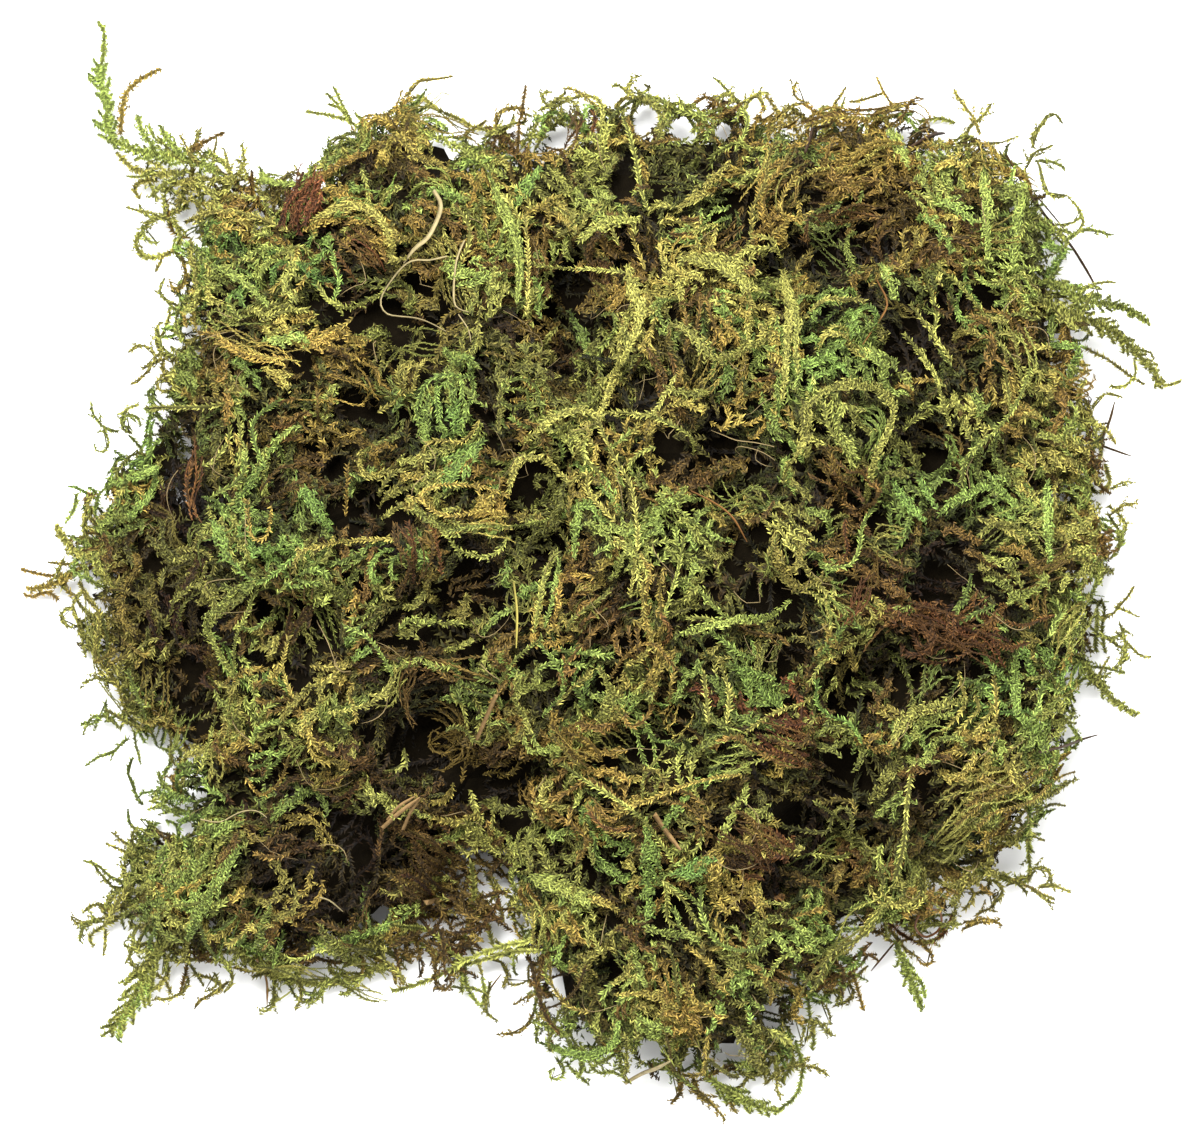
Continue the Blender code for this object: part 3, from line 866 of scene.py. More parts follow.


# the single shoots that stand out, laid one by one

# way, width, hue, shade, places (x, y, height over the clump, or over the floor beside it) in mm
handLaid = [
    ("plume", 2.8, .58, .95, [(-84, 73, 4), (-88, 71, 5), (-91, 70, 5), (-93.5, 67, 4), (-94, 65, 4),
     (-92.5, 63, 4), (-89, 62.8, 5), (-86, 64.5, 6), (-85, 67, 6), (-86.5, 71, 5)]),
    ("plume", 2.8, .52, .9, [(-82, 65, 3), (-81.5, 60, 2), (-81, 56, 1), (-81, 52, 1)]),
    ("plume", 2.6, .66, .9, [(-80.5, 55, 1), (-84, 53, 2), (-85.5, 49, 2), (-84, 45, 1)]),
    ("plume", 4, .72, .95, [(-77, 60, 1.5), (-73, 58.5, 2), (-69, 55, 2), (-66, 52, 1)]),
    ("cord", 2.5, .50, .9, [(-84, 70, 2), (-77, 71.5, 2), (-70, 70.5, 2), (-62, 67, 1.5)]),
    ("cord", 2, .56, 1, [(-84, 74, 3), (-79, 76, 3), (-72, 74.5, 2), (-66, 74, 1.5)]),
    ("plume", 4, .72, 1.1, [(-69, 81, 2), (-67.5, 78, 2), (-64, 77, 2), (-60, 77, 1.5)]),
    ("cord", 1.6, .72, 1.05, [(-81, 80, 4), (-80, 84, 4), (-77, 82.5, 4), (-75, 80, 3), (-73, 77, 2)]),
    ("plume", 4.5, .76, 1.3, [(-67, 45, 1), (-63, 45, 2), (-59, 46, 2), (-58, 44, 1)]),
    ("strands", 6, .42, 1.05, [(-83, 47, 1), (-75, 45, 2), (-67, 42.5, 2), (-58, 40, 1)]),
    ("strands", 6, .03, 1.0, [(-61.5, 67, 1), (-60.5, 72, 3), (-58, 76, 3), (-56, 80, 2)]),
    ("strands", 5, .05, .8, [(-60, 68, 1), (-60, 72, 2.4), (-61, 76, 2)]),
    ("plume", 5, .04, .95, [(-61, 69, 1), (-60, 73, 2), (-58, 78, 2)]),
    ("plume", 4, .02, .85, [(-59, 69, 1), (-57.5, 73, 2), (-56.5, 77, 1.5)]),
    ("plush", 3.2, .50, 1.05, [(-57, 69.5, 1), (-53, 71.5, 2), (-48, 72, 2), (-44, 69.5, 2),
     (-41.5, 65, 1.5), (-41, 60, 1)]),
    ("strands", 8, .2, .8, [(-52, 67, .5), (-48, 63, 1), (-44, 58, .5)]),
    ("cord", 1.8, .84, 1.15, [(-54, 65, 1), (-53, 61, 2), (-52, 57, 2), (-53, 53, 1)]),
    ("cord", 2, .60, 1.1, [(-56, 56, 1), (-53.5, 52.5, 2), (-50, 51.5, 2), (-46.5, 53, 1.5), (-43, 55, 0)]),
    ("plume", 5, .60, 1.0, [(-62, 64, 1), (-61, 60, 2), (-63, 56, 2), (-60, 53, 1)]),
    ("cord", 2, .52, .95, [(-41, 91, 1), (-39, 94.5, 2), (-36, 95.3, 2), (-33.5, 93, 2), (-29, 91, 2),
     (-25, 89, 2), (-21, 89, 2), (-18, 86, 1)]),
    ("strands", 4.5, .42, 1.05, [(-41, 90, 1), (-34, 89, 2), (-28, 87.5, 2), (-24, 85.5, 1)]),
    ("plume", 4, .66, 1.15, [(-36, 87.5, 2), (-29, 84.5, 2.5), (-24, 81.5, 2), (-19, 78, 1)]),
    ("cord", 2.2, .56, .95, [(-13, 84, 1), (-11, 88, 2), (-11, 91, 2), (-8, 94, 3), (-4, 95.5, 3),
     (-1, 95, 3), (.5, 92, 2), (0, 88, 1)]),
    ("strands", 5, .24, .6, [(-4, 94, 2), (-3, 89, 1), (-5, 83, 0)]),
    ("cord", 2.6, .66, 1.1, [(2, 90, 1), (5, 93, 2), (9, 95.3, 3), (12.5, 94.5, 3), (16, 92, 2),
     (20, 91, 2), (26, 92.5, 2), (29.5, 91, 2), (29, 87, 2), (27, 83, 1)]),
    ("cord", 2.4, .60, 1.0, [(4.5, 91, 2), (6, 86, 2), (7, 82, 2), (8, 76, 1.5), (9.5, 71, 1)]),
    ("plume", 6, .88, 1.0, [(-12, 80, 1), (-14.5, 76, 1.5), (-17, 72, 1)]),
    ("plush", 3.6, .60, 1.2, [(-4, 65, 1), (-1, 67.5, 2), (3, 69, 2.5), (8, 69, 2)]),
    ("cord", 1.6, .46, 1.1, [(6, 67, 2), (7.5, 63, 2), (9, 59, 1)]),
    ("plume", 4.5, .54, 1.15, [(5.5, 60, 1), (7, 54, 2.5), (8, 49, 3), (6, 44, 3), (4, 40, 3)]),
    ("plume", 3, .52, 1.15, [(4, 41, 3), (1.5, 34, 3), (-.5, 29.5, 3)]),
    ("cord", 2, .52, 1.1, [(-.5, 29.5, 3), (1, 25.5, 3), (3.2, 21, 3), (6, 16, 3), (7, 10.5, 3),
     (7.4, 5, 2.5), (5.8, -6, 1)]),
    ("plume", 3, .54, 1.2, [(0, 29.5, 2.5), (-4, 31, 2), (-8, 30, 1.5), (-12, 27, 1), (-16, 24, .5)]),
    ("cord", 1.8, .55, 1.2, [(0, 30.5, 2.5), (5, 30.5, 2), (10, 30, 1.5), (13, 34, 2), (15, 38, 2)]),
    ("cord", 2, .60, 1, [(10, 30, 1.5), (14, 28, 1), (18, 25.5, 1), (18.5, 22, .5)]),
    ("cord", 1.4, .58, 1.15, [(-17, 62, 2), (-12, 60, 2), (-6, 59.5, 2), (0, 59.2, 2), (5, 58.5, 2)]),
    ("plume", 8, .74, 1.25, [(-20, 58, 1), (-25, 58, 2), (-31, 60, 1.5)]),
    ("plush", 3.4, .70, 1.05, [(-22, 78, 1), (-20, 73, 1.5), (-17, 67, 2), (-16, 60, 2), (-16.5, 52, 1)]),
    ("cord", 1.1, .50, 1.3, [(-15, 70, 2.5), (-14.2, 60, 3), (-14.6, 50, 2.5)]),
    ("cord", 2.6, .54, 1.1, [(-29, 72, 1), (-26.5, 69, 2), (-26, 65, 2), (-27.5, 61, 1)]),
    ("plume", 11, .56, 1.15, [(16, 61, 1), (21, 61, 2), (26, 59, 2.5), (30, 55, 2)]),
    ("plush", 3.2, .54, 1.0, [(36.5, 59, 1), (37.5, 52, 2), (37, 45, 2.5), (36.5, 38, 2), (36, 33, 1)]),
    ("plume", 3.4, .58, 1.0, [(35.5, 57, 1.5), (38.8, 50, 2), (38.6, 44, 2), (39, 38, 1.5)]),
    ("plume", 4, .56, .85, [(14, 48, 1), (17.5, 46.5, 2), (20, 43.5, 2), (22.5, 41, 2), (27, 42, 2),
     (33, 45, 1)]),
    ("strands", 9, .42, 1.0, [(40, 84, 1), (36, 79, 2), (33, 72, 2), (34, 67, 1)]),
    ("plume", 4, .80, .6, [(-6, 51, 0), (-4, 47, .5), (-2, 42, 0)]),
    ("plume", 5, .72, 1.3, [(76.5, 79, 1), (77, 73, 2), (77, 67, 2), (77.5, 61, 1)]),
    ("plume", 5, .72, 1.35, [(86, 77.5, 1), (84, 73, 2), (83, 67, 2), (82.5, 60, 1)]),
    ("cord", 1.8, .52, 1.1, [(70, 84, 1.5), (76, 85, 2), (82, 86.3, 2), (85, 87.5, 1.5)]),
    ("bare", .6, .2, .3, [(82, 83, 3), (83.5, 80, 2), (85, 77, 2)]),
    ("strands", 5, .36, 1.0, [(40, 88, 1), (48, 89, 2), (56, 90, 2), (63, 90.5, 2), (66, 87, 1)]),
    ("cord", 1.3, .24, .9, [(55, 91, 2), (58, 93, 2), (60.5, 94, 2)]),
    ("cord", 2, .62, 1, [(65, 90.5, 1.5), (69, 91, 1.5), (72, 90, 1.5)]),
    ("strands", 6, .44, 1.05, [(38, 76, 1), (47, 79, 2), (56, 82.5, 2), (64, 84, 1)]),
    ("plume", 5, .70, 1.1, [(58.5, 88, 1), (60, 84, 2), (62, 80, 1)]),
    ("plume", 5, .74, 1.05, [(56, 60, 1), (57.5, 57, 2), (58.5, 53, 1.5)]),
    ("bare", .5, .13, 1, [(55, 57, 1), (57, 52, 2), (54, 47, 1.5), (52, 44, 1)]),
    ("cord", 2.6, .58, 1.15, [(61, 46, 1), (64, 42, 2), (66.5, 38, 2), (68, 33, 2), (70, 27, 1)]),
    ("cord", 2.6, .60, 1.15, [(64.5, 58, 1), (66.5, 53, 2), (67, 49, 2), (65.5, 45, 1)]),
    ("cord", 2.4, .56, 1.1, [(62, 52, 1), (64.5, 48.5, 2), (67, 45, 2), (70, 41, 1)]),
    ("cord", 1.8, .60, 1.1, [(66, 60, 1.5), (70, 57.5, 2), (74, 53.5, 2), (77, 50, 1)]),
    ("strands", 10, .22, .7, [(42, 73, .5), (50, 73.5, .5), (58, 73, .5)]),
    ("strands", 4, .56, 1.0, [(-106, -2, 1.5), (-103, -8, 1.5), (-102, -14, 1.5), (-101, -20, 1),
     (-97, -27, 1), (-92, -34, 1)]),
    ("plume", 5, .80, 1.2, [(-97, 17, 1.5), (-93, 18.5, 2), (-89, 20, 1.5)]),
    ("plume", 5, .82, 1.1, [(-89, 19, 1.5), (-91, 14, 2), (-95, 10, 1.5)]),
    ("plush", 3.2, .64, 1.1, [(-72, -4, 1), (-76, -9, 2), (-78.5, -12, 2.5), (-76, -17, 2.5),
     (-73, -22, 2)]),
    ("cord", 2, .64, 1.15, [(-68, -4, 1), (-70.5, -10, 2.5), (-72.5, -15, 2.5), (-73, -22, 2)]),
    ("plume", 6, .84, .95, [(-77, 9, 1), (-75, 5, 2), (-74, 1, 1)]),
    ("cord", 2, .86, 1.05, [(-73, 1, 1), (-68, -3, 2), (-64, -1, 2), (-60, 2.5, 1)]),
    ("cord", 1.6, .47, 1.05, [(-60.5, -1, 1), (-59, 3, 2), (-51, 5, 2.5), (-40, 5.6, 2)]),
    ("cord", 2.8, .56, .85, [(-92, 32, 2), (-86, 32, 1.5), (-79, 32, 1.5), (-71, 33, 1)]),
    ("cord", 2.2, .76, 1.3, [(-50, -12, 1), (-46.5, -13.5, 2), (-43.5, -17, 2), (-41, -21.5, 1)]),
    ("cord", 1.8, .54, 1.1, [(-40.5, -22, 1), (-44, -26, 2), (-48.5, -28, 2), (-54, -29, 1)]),
    ("strands", 4, .12, .9, [(-81.5, 27, 1), (-81.5, 20, 1.5), (-82, 12, 1.5), (-80, 7, 1)]),
    ("cord", 1.6, .42, 1.0, [(-70, 13, 1), (-69, 6, 1.5), (-66, 6, 1.5), (-65, 12, 1)]),
    ("cord", 2.4, .78, 1.1, [(-64, 33, 1), (-69, 29, 2), (-68.5, 24, 2), (-66.5, 20, 1)]),
    ("plume", 5, .90, 1.0, [(-60, 17, 1), (-56.5, 12, 2), (-53, 7, 1)]),
    ("cord", 1.3, .36, 1.0, [(-50, 20, 1.5), (-50.2, 15, 2), (-50.5, 10, 1)]),
    ("cord", 2.2, .72, 1.05, [(-95, -21, 1.5), (-92.5, -28, 1.5), (-90, -36, 1)]),
    ("cord", 1.6, .6, 1, [(-77, -30, 1), (-78.5, -35, 1.5), (-80, -41, 1)]),
    ("cord", 1.4, .46, 1.1, [(-62, -14, 1), (-63, -20, 1.5), (-61, -26, 1)]),
    ("plume", 3.4, .52, 1.15, [(-18, 15, 1), (-17, 19, 2), (-15, 21.5, 2.5), (-11, 21.3, 2.5),
     (-8, 18.5, 2), (-6, 16.5, 2)]),
    ("cord", 2.2, .50, 1.1, [(-6, 16.5, 2), (-2.5, 18.5, 2), (-2.5, 15, 2), (0, 12, 2), (3, 9, 1)]),
    ("cord", 1.3, .43, 1.25, [(-18, 14, 2), (-22, 15.5, 2.5), (-27, 16.2, 2.5), (-32, 16, 2.5),
     (-35.5, 14, 2.5), (-33, 11.2, 2.5), (-29, 10, 2.5), (-23, 11, 2.5), (-18, 10.2, 2)]),
    ("cord", 1.2, .43, 1.2, [(-24.5, 16.5, 3), (-22.5, 12, 3), (-18.5, 8, 2)]),
    ("cord", 1.5, .62, 1.15, [(-33, 9, 1.5), (-30, 6, 2), (-28, 3.5, 2), (-24, 2, 2), (-20, 3, 2),
     (-18, 6, 2)]),
    ("cord", 1.5, .66, 1.1, [(-30, 7, 2), (-24, 8, 2.5), (-18, 8, 2.5), (-14, 8.5, 2), (-10, 9.5, 1)]),
    ("plume", 8, .86, .88, [(-23, 25, 1), (-27, 21, 2), (-31, 16, 1)]),
    ("plume", 4, .92, 1.0, [(-28, 33, 1), (-29, 30, 1.5), (-28, 27, 1)]),
    ("plume", 5, .80, .85, [(-34, 33, 1), (-35, 27, 2), (-34, 24, 1)]),
    ("plume", 4, .78, 1.25, [(-4, 12, 1), (-5, 7, 2), (-5, 2, 1.5)]),
    ("plume", 2.8, .60, 1.1, [(-8.5, 3, 1.5), (-11, -2, 2.5), (-12, -7.5, 2.5), (-13, -13, 2)]),
    ("cord", 1.8, .76, 1.1, [(-8, 1.5, 1.5), (-9, -5, 2), (-11, -12, 1.5)]),
    ("cord", 2, .38, 1.1, [(-8, -2, 1), (-5, -1.5, 2), (-1, -2, 2)]),
    ("cord", 2, .38, 1.1, [(-7.5, -2, 1), (-8.5, -8, 2), (-9, -12, 1)]),
    ("cord", 1.8, .80, 1.15, [(-12, -15, 2), (-8.5, -19.5, 2.5), (-7, -24, 2.5), (-11.5, -29.5, 1)]),
    ("cord", 1.8, .66, 1.1, [(-11.5, -14, 2), (-16.5, -18, 2.5), (-20, -23, 1)]),
    ("bare", .6, .48, .9, [(-17, -3, 2), (-16.3, -9, 3), (-16.5, -16, 2)]),
    ("cord", 2, .64, 1.15, [(16.5, 6, 1), (15.5, 0, 2), (14, -5, 2), (12.5, -10, 1)]),
    ("cord", 2, .70, 1.15, [(16, -2.5, 2), (20, -5, 2.5), (23, -8.5, 2), (26, -10.5, 1)]),
    ("plume", 3.4, .70, 1.35, [(15, -13.5, 1), (20, -12, 2), (27, -10.3, 2.5), (33, -10, 2.5),
     (38, -6.5, 2)]),
    ("bare", .5, .12, 1.0, [(18, 15, 1), (22, 13, 2), (26, 10, 2), (29, 5, 1)]),
    ("strands", 8, .18, .8, [(-37, 9, 1), (-35, 2, 1), (-36, -5, 1)]),
    ("cord", 1.8, .32, 1, [(15, -20, 1), (10, -15, 2), (5, -17.5, 2), (2, -22, 1)]),
    ("plume", 9, .84, .95, [(26, -19, 1), (31, -23, 2), (36, -27, 1)]),
    ("cord", 2.2, .52, 1.2, [(29, -32.5, 1), (34, -29, 2), (40, -27, 2), (44, -24.5, 1)]),
    ("cord", 2.4, .54, 1.15, [(20.5, -21, 1), (21, -26, 2), (21.5, -31, 1)]),
    ("cord", 2.2, .54, 1.15, [(24, -20, 1), (25.5, -25, 2), (25, -31, 1)]),
    ("strands", 9, .36, .85, [(-8, -30, 1), (-4, -33.5, 1.5), (1, -37, 1)]),
    ("plume", 4, .58, 1.05, [(0, -20, 1), (2, -25, 2), (0, -31, 2), (-1, -35, 1)]),
    ("strands", 9, .10, .9, [(32, -32, 1), (37, -34.5, 1.5), (43, -36, 1)]),
    ("plush", 3.2, .56, 1.05, [(41, 32, 1), (45, 35, 2), (50, 36, 2.5), (55, 35, 2.5),
     (58, 31.5, 2.5), (57, 27, 2), (54.5, 22, 2), (53.5, 17, 1.5), (52.5, 12.5, 1)]),
    ("cord", 2.4, .60, 1.1, [(44, 32, 1), (45, 27.5, 2), (48, 23.5, 1.5)]),
    ("cord", 2.2, .74, 1.0, [(57, 17.5, 1), (54.5, 12.5, 2), (52, 8, 2.5), (51, 3, 2.5),
     (49, .3, 2.5), (44, 0, 2)]),
    ("plume", 4, .90, 1.1, [(58, 17, 1), (61, 12.5, 2), (64.5, 9, 1)]),
    ("plume", 3, .90, 1.1, [(63.5, 17.5, 1), (65, 14.5, 2), (67, 11.5, 1)]),
    ("plume", 4, .82, 1.2, [(67.5, 10.5, 1), (71, 13.5, 2), (76, 16, 2.5), (80, 15, 2), (83, 11.5, 1)]),
    ("cord", 2.2, .66, 1.15, [(72, 17, 1), (73, 22, 2), (77, 25.5, 2.5), (81.5, 30.5, 2.5),
     (84, 35, 2), (86, 40, 1)]),
    ("plume", 4.5, .80, 1.35, [(89.5, 17, 1), (89, 11, 2.5), (89.3, 6, 2.5), (90, 1, 1)]),
    ("cord", 2, .56, 1.15, [(76, 7, 1), (79, 9, 2), (83, 8, 2), (87, 5, 1.5), (89, 2, 1)]),
    ("plume", 4, .34, 1.05, [(79, 3.5, 1), (83, 3.5, 2), (86, 1.5, 2), (88, -1.5, 1)]),
    ("cord", 1.5, .54, 1.0, [(98, 17, 1), (101, 15, 2), (103.3, 17, 3), (102.3, 21, 3)]),
    ("plume", 5, .58, 1.1, [(95, -2, 1), (99, -.5, 2), (104, -.8, 2.5)]),
    ("strands", 7, .60, 1.1, [(98, -6, 1), (94, -13, 2), (91, -20, 1)]),
    ("cord", .9, .62, .9, [(97, -17, 2), (97, -12, 3), (100, -10, 4), (102, -10.5, 4)]),
    ("cord", .9, .62, .9, [(100.5, -17, 3), (100.3, -12, 4), (100.3, -8, 4), (101.3, -6.8, 4),
     (102.3, -9, 3), (101.8, -13, 2), (102.5, -17.5, 2)]),
    ("plume", 4.5, .82, 1.25, [(83, -18, 1), (83, -24, 2), (83.5, -29, 2), (87, -33, 1)]),
    ("cord", 2.2, .78, 1.2, [(88.5, -24, 1), (87.5, -28, 2), (86, -31, 1)]),
    ("cord", 1.9, .90, 1.25, [(43, -22.5, 2), (43, -27, 3), (46, -29.8, 3), (49.5, -31, 3), (52, -35, 2)]),
    ("cord", 1.6, .60, 1.1, [(41.5, -23, 1), (44.5, -18.5, 2.5), (51, -15, 1.5)]),
    ("strands", 8, .14, 1.0, [(61, -9, 1), (68, -12.5, 1.5), (75, -15.5, 1.5), (80.5, -20.5, 1)]),
    ("cord", 2.4, .47, 1.15, [(78.7, -22, 1), (79, -26, 2), (79, -30, 1)]),
    ("plume", 5, .56, 1.1, [(58, -35, 1), (61, -29.5, 2), (66, -27.5, 2), (73, -26.5, 1)]),
    ("strands", 4, .10, .85, [(52.5, -1, 1.5), (50, -6, 2), (47, -11, 1)]),
    ("plume", 4, .84, 1.15, [(-82, -47, 1), (-86, -46.3, 2), (-90, -45.5, 3), (-93.5, -46, 3)]),
    ("plume", 6, .76, .95, [(-71, -51, 1), (-76, -52, 2), (-81, -52.5, 1)]),
    ("plume", 7, .74, 1.0, [(-78, -57, 1), (-81, -60, 2), (-84, -62.5, 2), (-88, -66, 2), (-93, -69, 1.5)]),
    ("cord", 2.2, .80, 1.2, [(-89, -72, 2), (-91, -76, 2.5), (-91, -80, 2.5)]),
    ("cord", .9, .55, 1.2, [(-98, -71.5, 2), (-101, -73, 2.5), (-103.5, -75, 2), (-102.7, -77, 1.5)]),
    ("plush", 4, .76, 1.0, [(-72, -56, 1), (-76, -62, 2), (-80, -69, 2), (-83, -75, 2)]),
    ("plume", 5, .70, .95, [(-66, -68, 1), (-68, -74, 2), (-66, -79, 2), (-61, -82, 2)]),
    ("plume", 5, .60, .95, [(-56, -72, 2), (-52, -78, 3), (-46, -82, 3)]),
    ("plush", 3.4, .58, .9, [(-74, -77, 2), (-66, -82.5, 3), (-57, -84.5, 3), (-49, -83, 4),
     (-43, -80, 4)]),
    ("plume", 5, .80, 1.05, [(-90, -52, 2), (-93.5, -57, 3), (-94.5, -62, 3)]),
    ("cord", 1.2, .3, .8, [(-83, -78, 1), (-84, -82, 2), (-85.2, -86.5, 1)]),
    ("cord", 2.4, .70, 1.1, [(-80, -72, 1), (-79, -76, 2), (-77, -79, 1.5)]),
    ("strands", 5, .60, 1.05, [(-72, -78, 1), (-64, -79.5, 1.5), (-56, -81.5, 4), (-48, -85, 4),
     (-42, -86.5, 4)]),
    ("strands", 5, .56, .9, [(-52, -76, 2), (-46, -79, 4), (-40, -83, 4)]),
    ("cord", 1.6, .56, .95, [(-69, -80, 3), (-67, -83, 3), (-64, -83, 3), (-62.5, -81, 3)]),
    ("bare", .6, .2, .9, [(-69, -79, 3), (-67.5, -84, 3), (-67.5, -89, 2)]),
    ("bare", .5, .6, 1, [(-67.3, -89, 2), (-64, -87, 2), (-61.5, -85, 2)]),
    ("cord", 1.6, .40, 1.0, [(-62, -38, 1), (-64, -43, 2), (-68, -45.5, 2), (-71, -42, 2)]),
    ("cord", 1.6, .62, 1.1, [(-42, -72, 4), (-37, -73, 6), (-33, -74.5, 7), (-30, -78, 7), (-27, -80, 7)]),
    ("cord", 1.5, .60, 1.05, [(-38, -75.5, 4), (-34, -77.5, 5), (-30, -79.8, 6)]),
    ("cord", 2, .62, 1.15, [(-42, -86, 3), (-37, -84.5, 4), (-32, -82.5, 5), (-28, -80, 7),
     (-23, -77.8, 8), (-17, -75.8, 8), (-13, -74.5, 6)]),
    ("cord", 1.6, .60, 1.15, [(-27, -80.5, 6), (-21, -78.8, 7), (-16, -77.3, 7), (-12, -76.8, 6)]),
    ("cord", 1.4, .68, 1.1, [(-27.3, -80, 6), (-27.3, -84, 4), (-25.5, -87.5, 3), (-24, -89, 2.5),
     (-23.3, -86.5, 3), (-24, -83, 4)]),
    ("bare", .5, .2, .6, [(-24, -88.5, 2.5), (-22, -85, 3), (-20, -82.5, 3)]),
    ("bare", 1.2, .2, .3, [(-26.5, -72.5, 4), (-28, -76, 5), (-29, -79, 4)]),
    ("bare", .8, .2, .3, [(-28.5, -68.5, 4), (-30, -72, 4), (-30.5, -73.5, 4)]),
    ("bare", .9, .2, .3, [(-31.5, -84, 2.5), (-30, -82, 3), (-28.5, -79, 4)]),
    ("cord", 2.4, .56, .85, [(-26.5, -62, 5), (-25, -67, 6), (-23, -72, 6), (-21.5, -77, 5)]),
    ("cord", 1.6, .5, .8, [(-23, -62, 6), (-21, -66, 6), (-19.5, -72, 6)]),
    ("plume", 5, .56, 1.0, [(-27, -51, 3), (-24, -55, 4), (-20, -58, 3)]),
    ("strands", 9, .22, .6, [(-40, -58, 4), (-36, -62, 6), (-32, -66, 6), (-35, -70, 5)]),
    ("strands", 6, .24, .7, [(-40, -54, 4), (-34, -57, 6), (-29, -62, 6)]),
    ("cord", 2.6, .24, .6, [(-14, -79, 3), (-12.5, -85, 4), (-11, -90, 3), (-8, -94, 2)]),
    ("cord", 2, .30, .6, [(-3, -80, 3), (-4.5, -84, 4), (-8, -87.5, 4), (-12, -89, 3)]),
    ("cord", 1.8, .45, .8, [(-10, -80, 3), (-9.5, -84, 4), (-6, -88, 4), (-2, -89, 3)]),
    ("plume", 5, .82, 1.15, [(-12, -96.5, 2), (-7, -97.8, 2.5), (-1, -97.8, 2.5), (3, -95, 2.5),
     (3.5, -91, 2)]),
    ("plume", 6, .46, 1.0, [(8, -85, 1), (13, -86, 2), (13, -90, 1)]),
    ("cord", 2, .44, .9, [(13, -92, 2), (14, -97, 3), (15, -102, 3), (18, -103, 3), (21, -101.5, 3),
     (21, -97, 3), (22, -93, 2)]),
    ("plume", 5, .54, .95, [(27, -92, 2), (30, -97, 3), (33, -102, 3), (37, -104, 3)]),
    ("cord", 2.5, .60, 1, [(37, -104, 3), (39, -100, 3), (37.5, -95.5, 3), (34, -93, 2)]),
    ("cord", 1, .7, .9, [(36.5, -110, 2), (39.8, -107, 2.5), (41, -101.5, 3), (39.5, -96, 3)]),
    ("cord", 3, .54, 1.0, [(22, -99, 3), (25, -101.5, 3), (28, -103.5, 3)]),
    ("cord", 2, .62, 1.2, [(-8, -39, 1), (-2, -43, 2), (4, -46.5, 2.5), (8.5, -50, 2.5),
     (11.5, -54, 2), (14.5, -58.5, 1)]),
    ("cord", 1.8, .44, 1.2, [(4, -48.5, 1.5), (11, -45.5, 2.5), (17, -43, 2.5), (23, -41.5, 2),
     (28, -41, 1)]),
    ("strands", 9, .58, 1.05, [(-12, -66, 1), (-10, -72, 2), (-11, -78, 1.5)]),
    ("plume", 7, .66, 1.1, [(-14, -62, 1), (-8, -64, 2), (-2, -67, 1)]),
    ("cord", 2.6, .74, 1.15, [(20, -64, 1), (20.5, -70, 2), (24, -75, 2.5), (30, -76.3, 2.5),
     (35, -73.5, 2)]),
    ("plume", 6, .96, 1.05, [(14.5, -61, 1), (18, -60, 2), (22, -58, 1)]),
    ("plume", 6, .84, 1.0, [(9, -50, 1), (10, -56, 2), (9.5, -63, 2), (10, -70, 1)]),
    ("strands", 8, .22, .9, [(26, -50, 1), (32, -54, 2), (36, -60, 1)]),
    ("strands", 6, .3, .8, [(-2, -47, 1), (2, -50, 2), (6, -49, 1)]),
    ("strands", 7, .54, 1.15, [(39, -84.5, 1), (46, -78, 2), (53, -71.5, 2.5), (60, -65, 1)]),
    ("cord", 3, .56, 1.1, [(59, -62, 1), (60.5, -55, 2.5), (61, -47, 2.5), (62, -39, 1)]),
    ("cord", 2, .60, 1.0, [(43, -47, 1), (48, -50.5, 2), (50.5, -55.5, 2.5), (48.5, -58.3, 2),
     (42, -57.3, 1)]),
    ("strands", 9, .48, 1.1, [(69, -50, 1), (77, -46, 2), (86, -42.5, 2), (95, -39, 1.5)]),
    ("plume", 4, .56, 1.1, [(84, -48, 1.5), (90, -46, 2.5), (96.5, -43, 2.5)]),
    ("cord", 1.8, .54, 1, [(86, -50, 2), (91, -48, 2), (94.5, -48.5, 2)]),
    ("cord", 1.8, .64, 1.05, [(76, -61, 1), (81, -63, 2.5), (85, -64, 3), (87, -62.5, 3),
     (86.7, -56, 3), (86, -50, 2)]),
    ("cord", 1.2, .10, 1.0, [(57.5, -71, 1), (61.5, -74.5, 2.5), (65.5, -76.3, 3), (69.5, -74.5, 3),
     (71.5, -70.5, 2.5)]),
    ("bare", .6, .06, .9, [(64, -70, 3), (63.5, -72.5, 3), (66, -75, 3), (69, -73, 3),
     (68.5, -69.5, 3), (65.5, -68.5, 3)]),
    ("bare", .7, .2, .3, [(101, 24.5, 1.5), (103, 29, 3), (104.3, 33.5, 3)]),
    ("bare", .6, .2, .3, [(101.5, 24.8, 1.5), (105, 23.5, 3), (107.8, 22.5, 3)]),
    ("bare", .5, .12, .5, [(60, -76, 2), (57.5, -79, 2), (55, -82, 1.5)]),
]
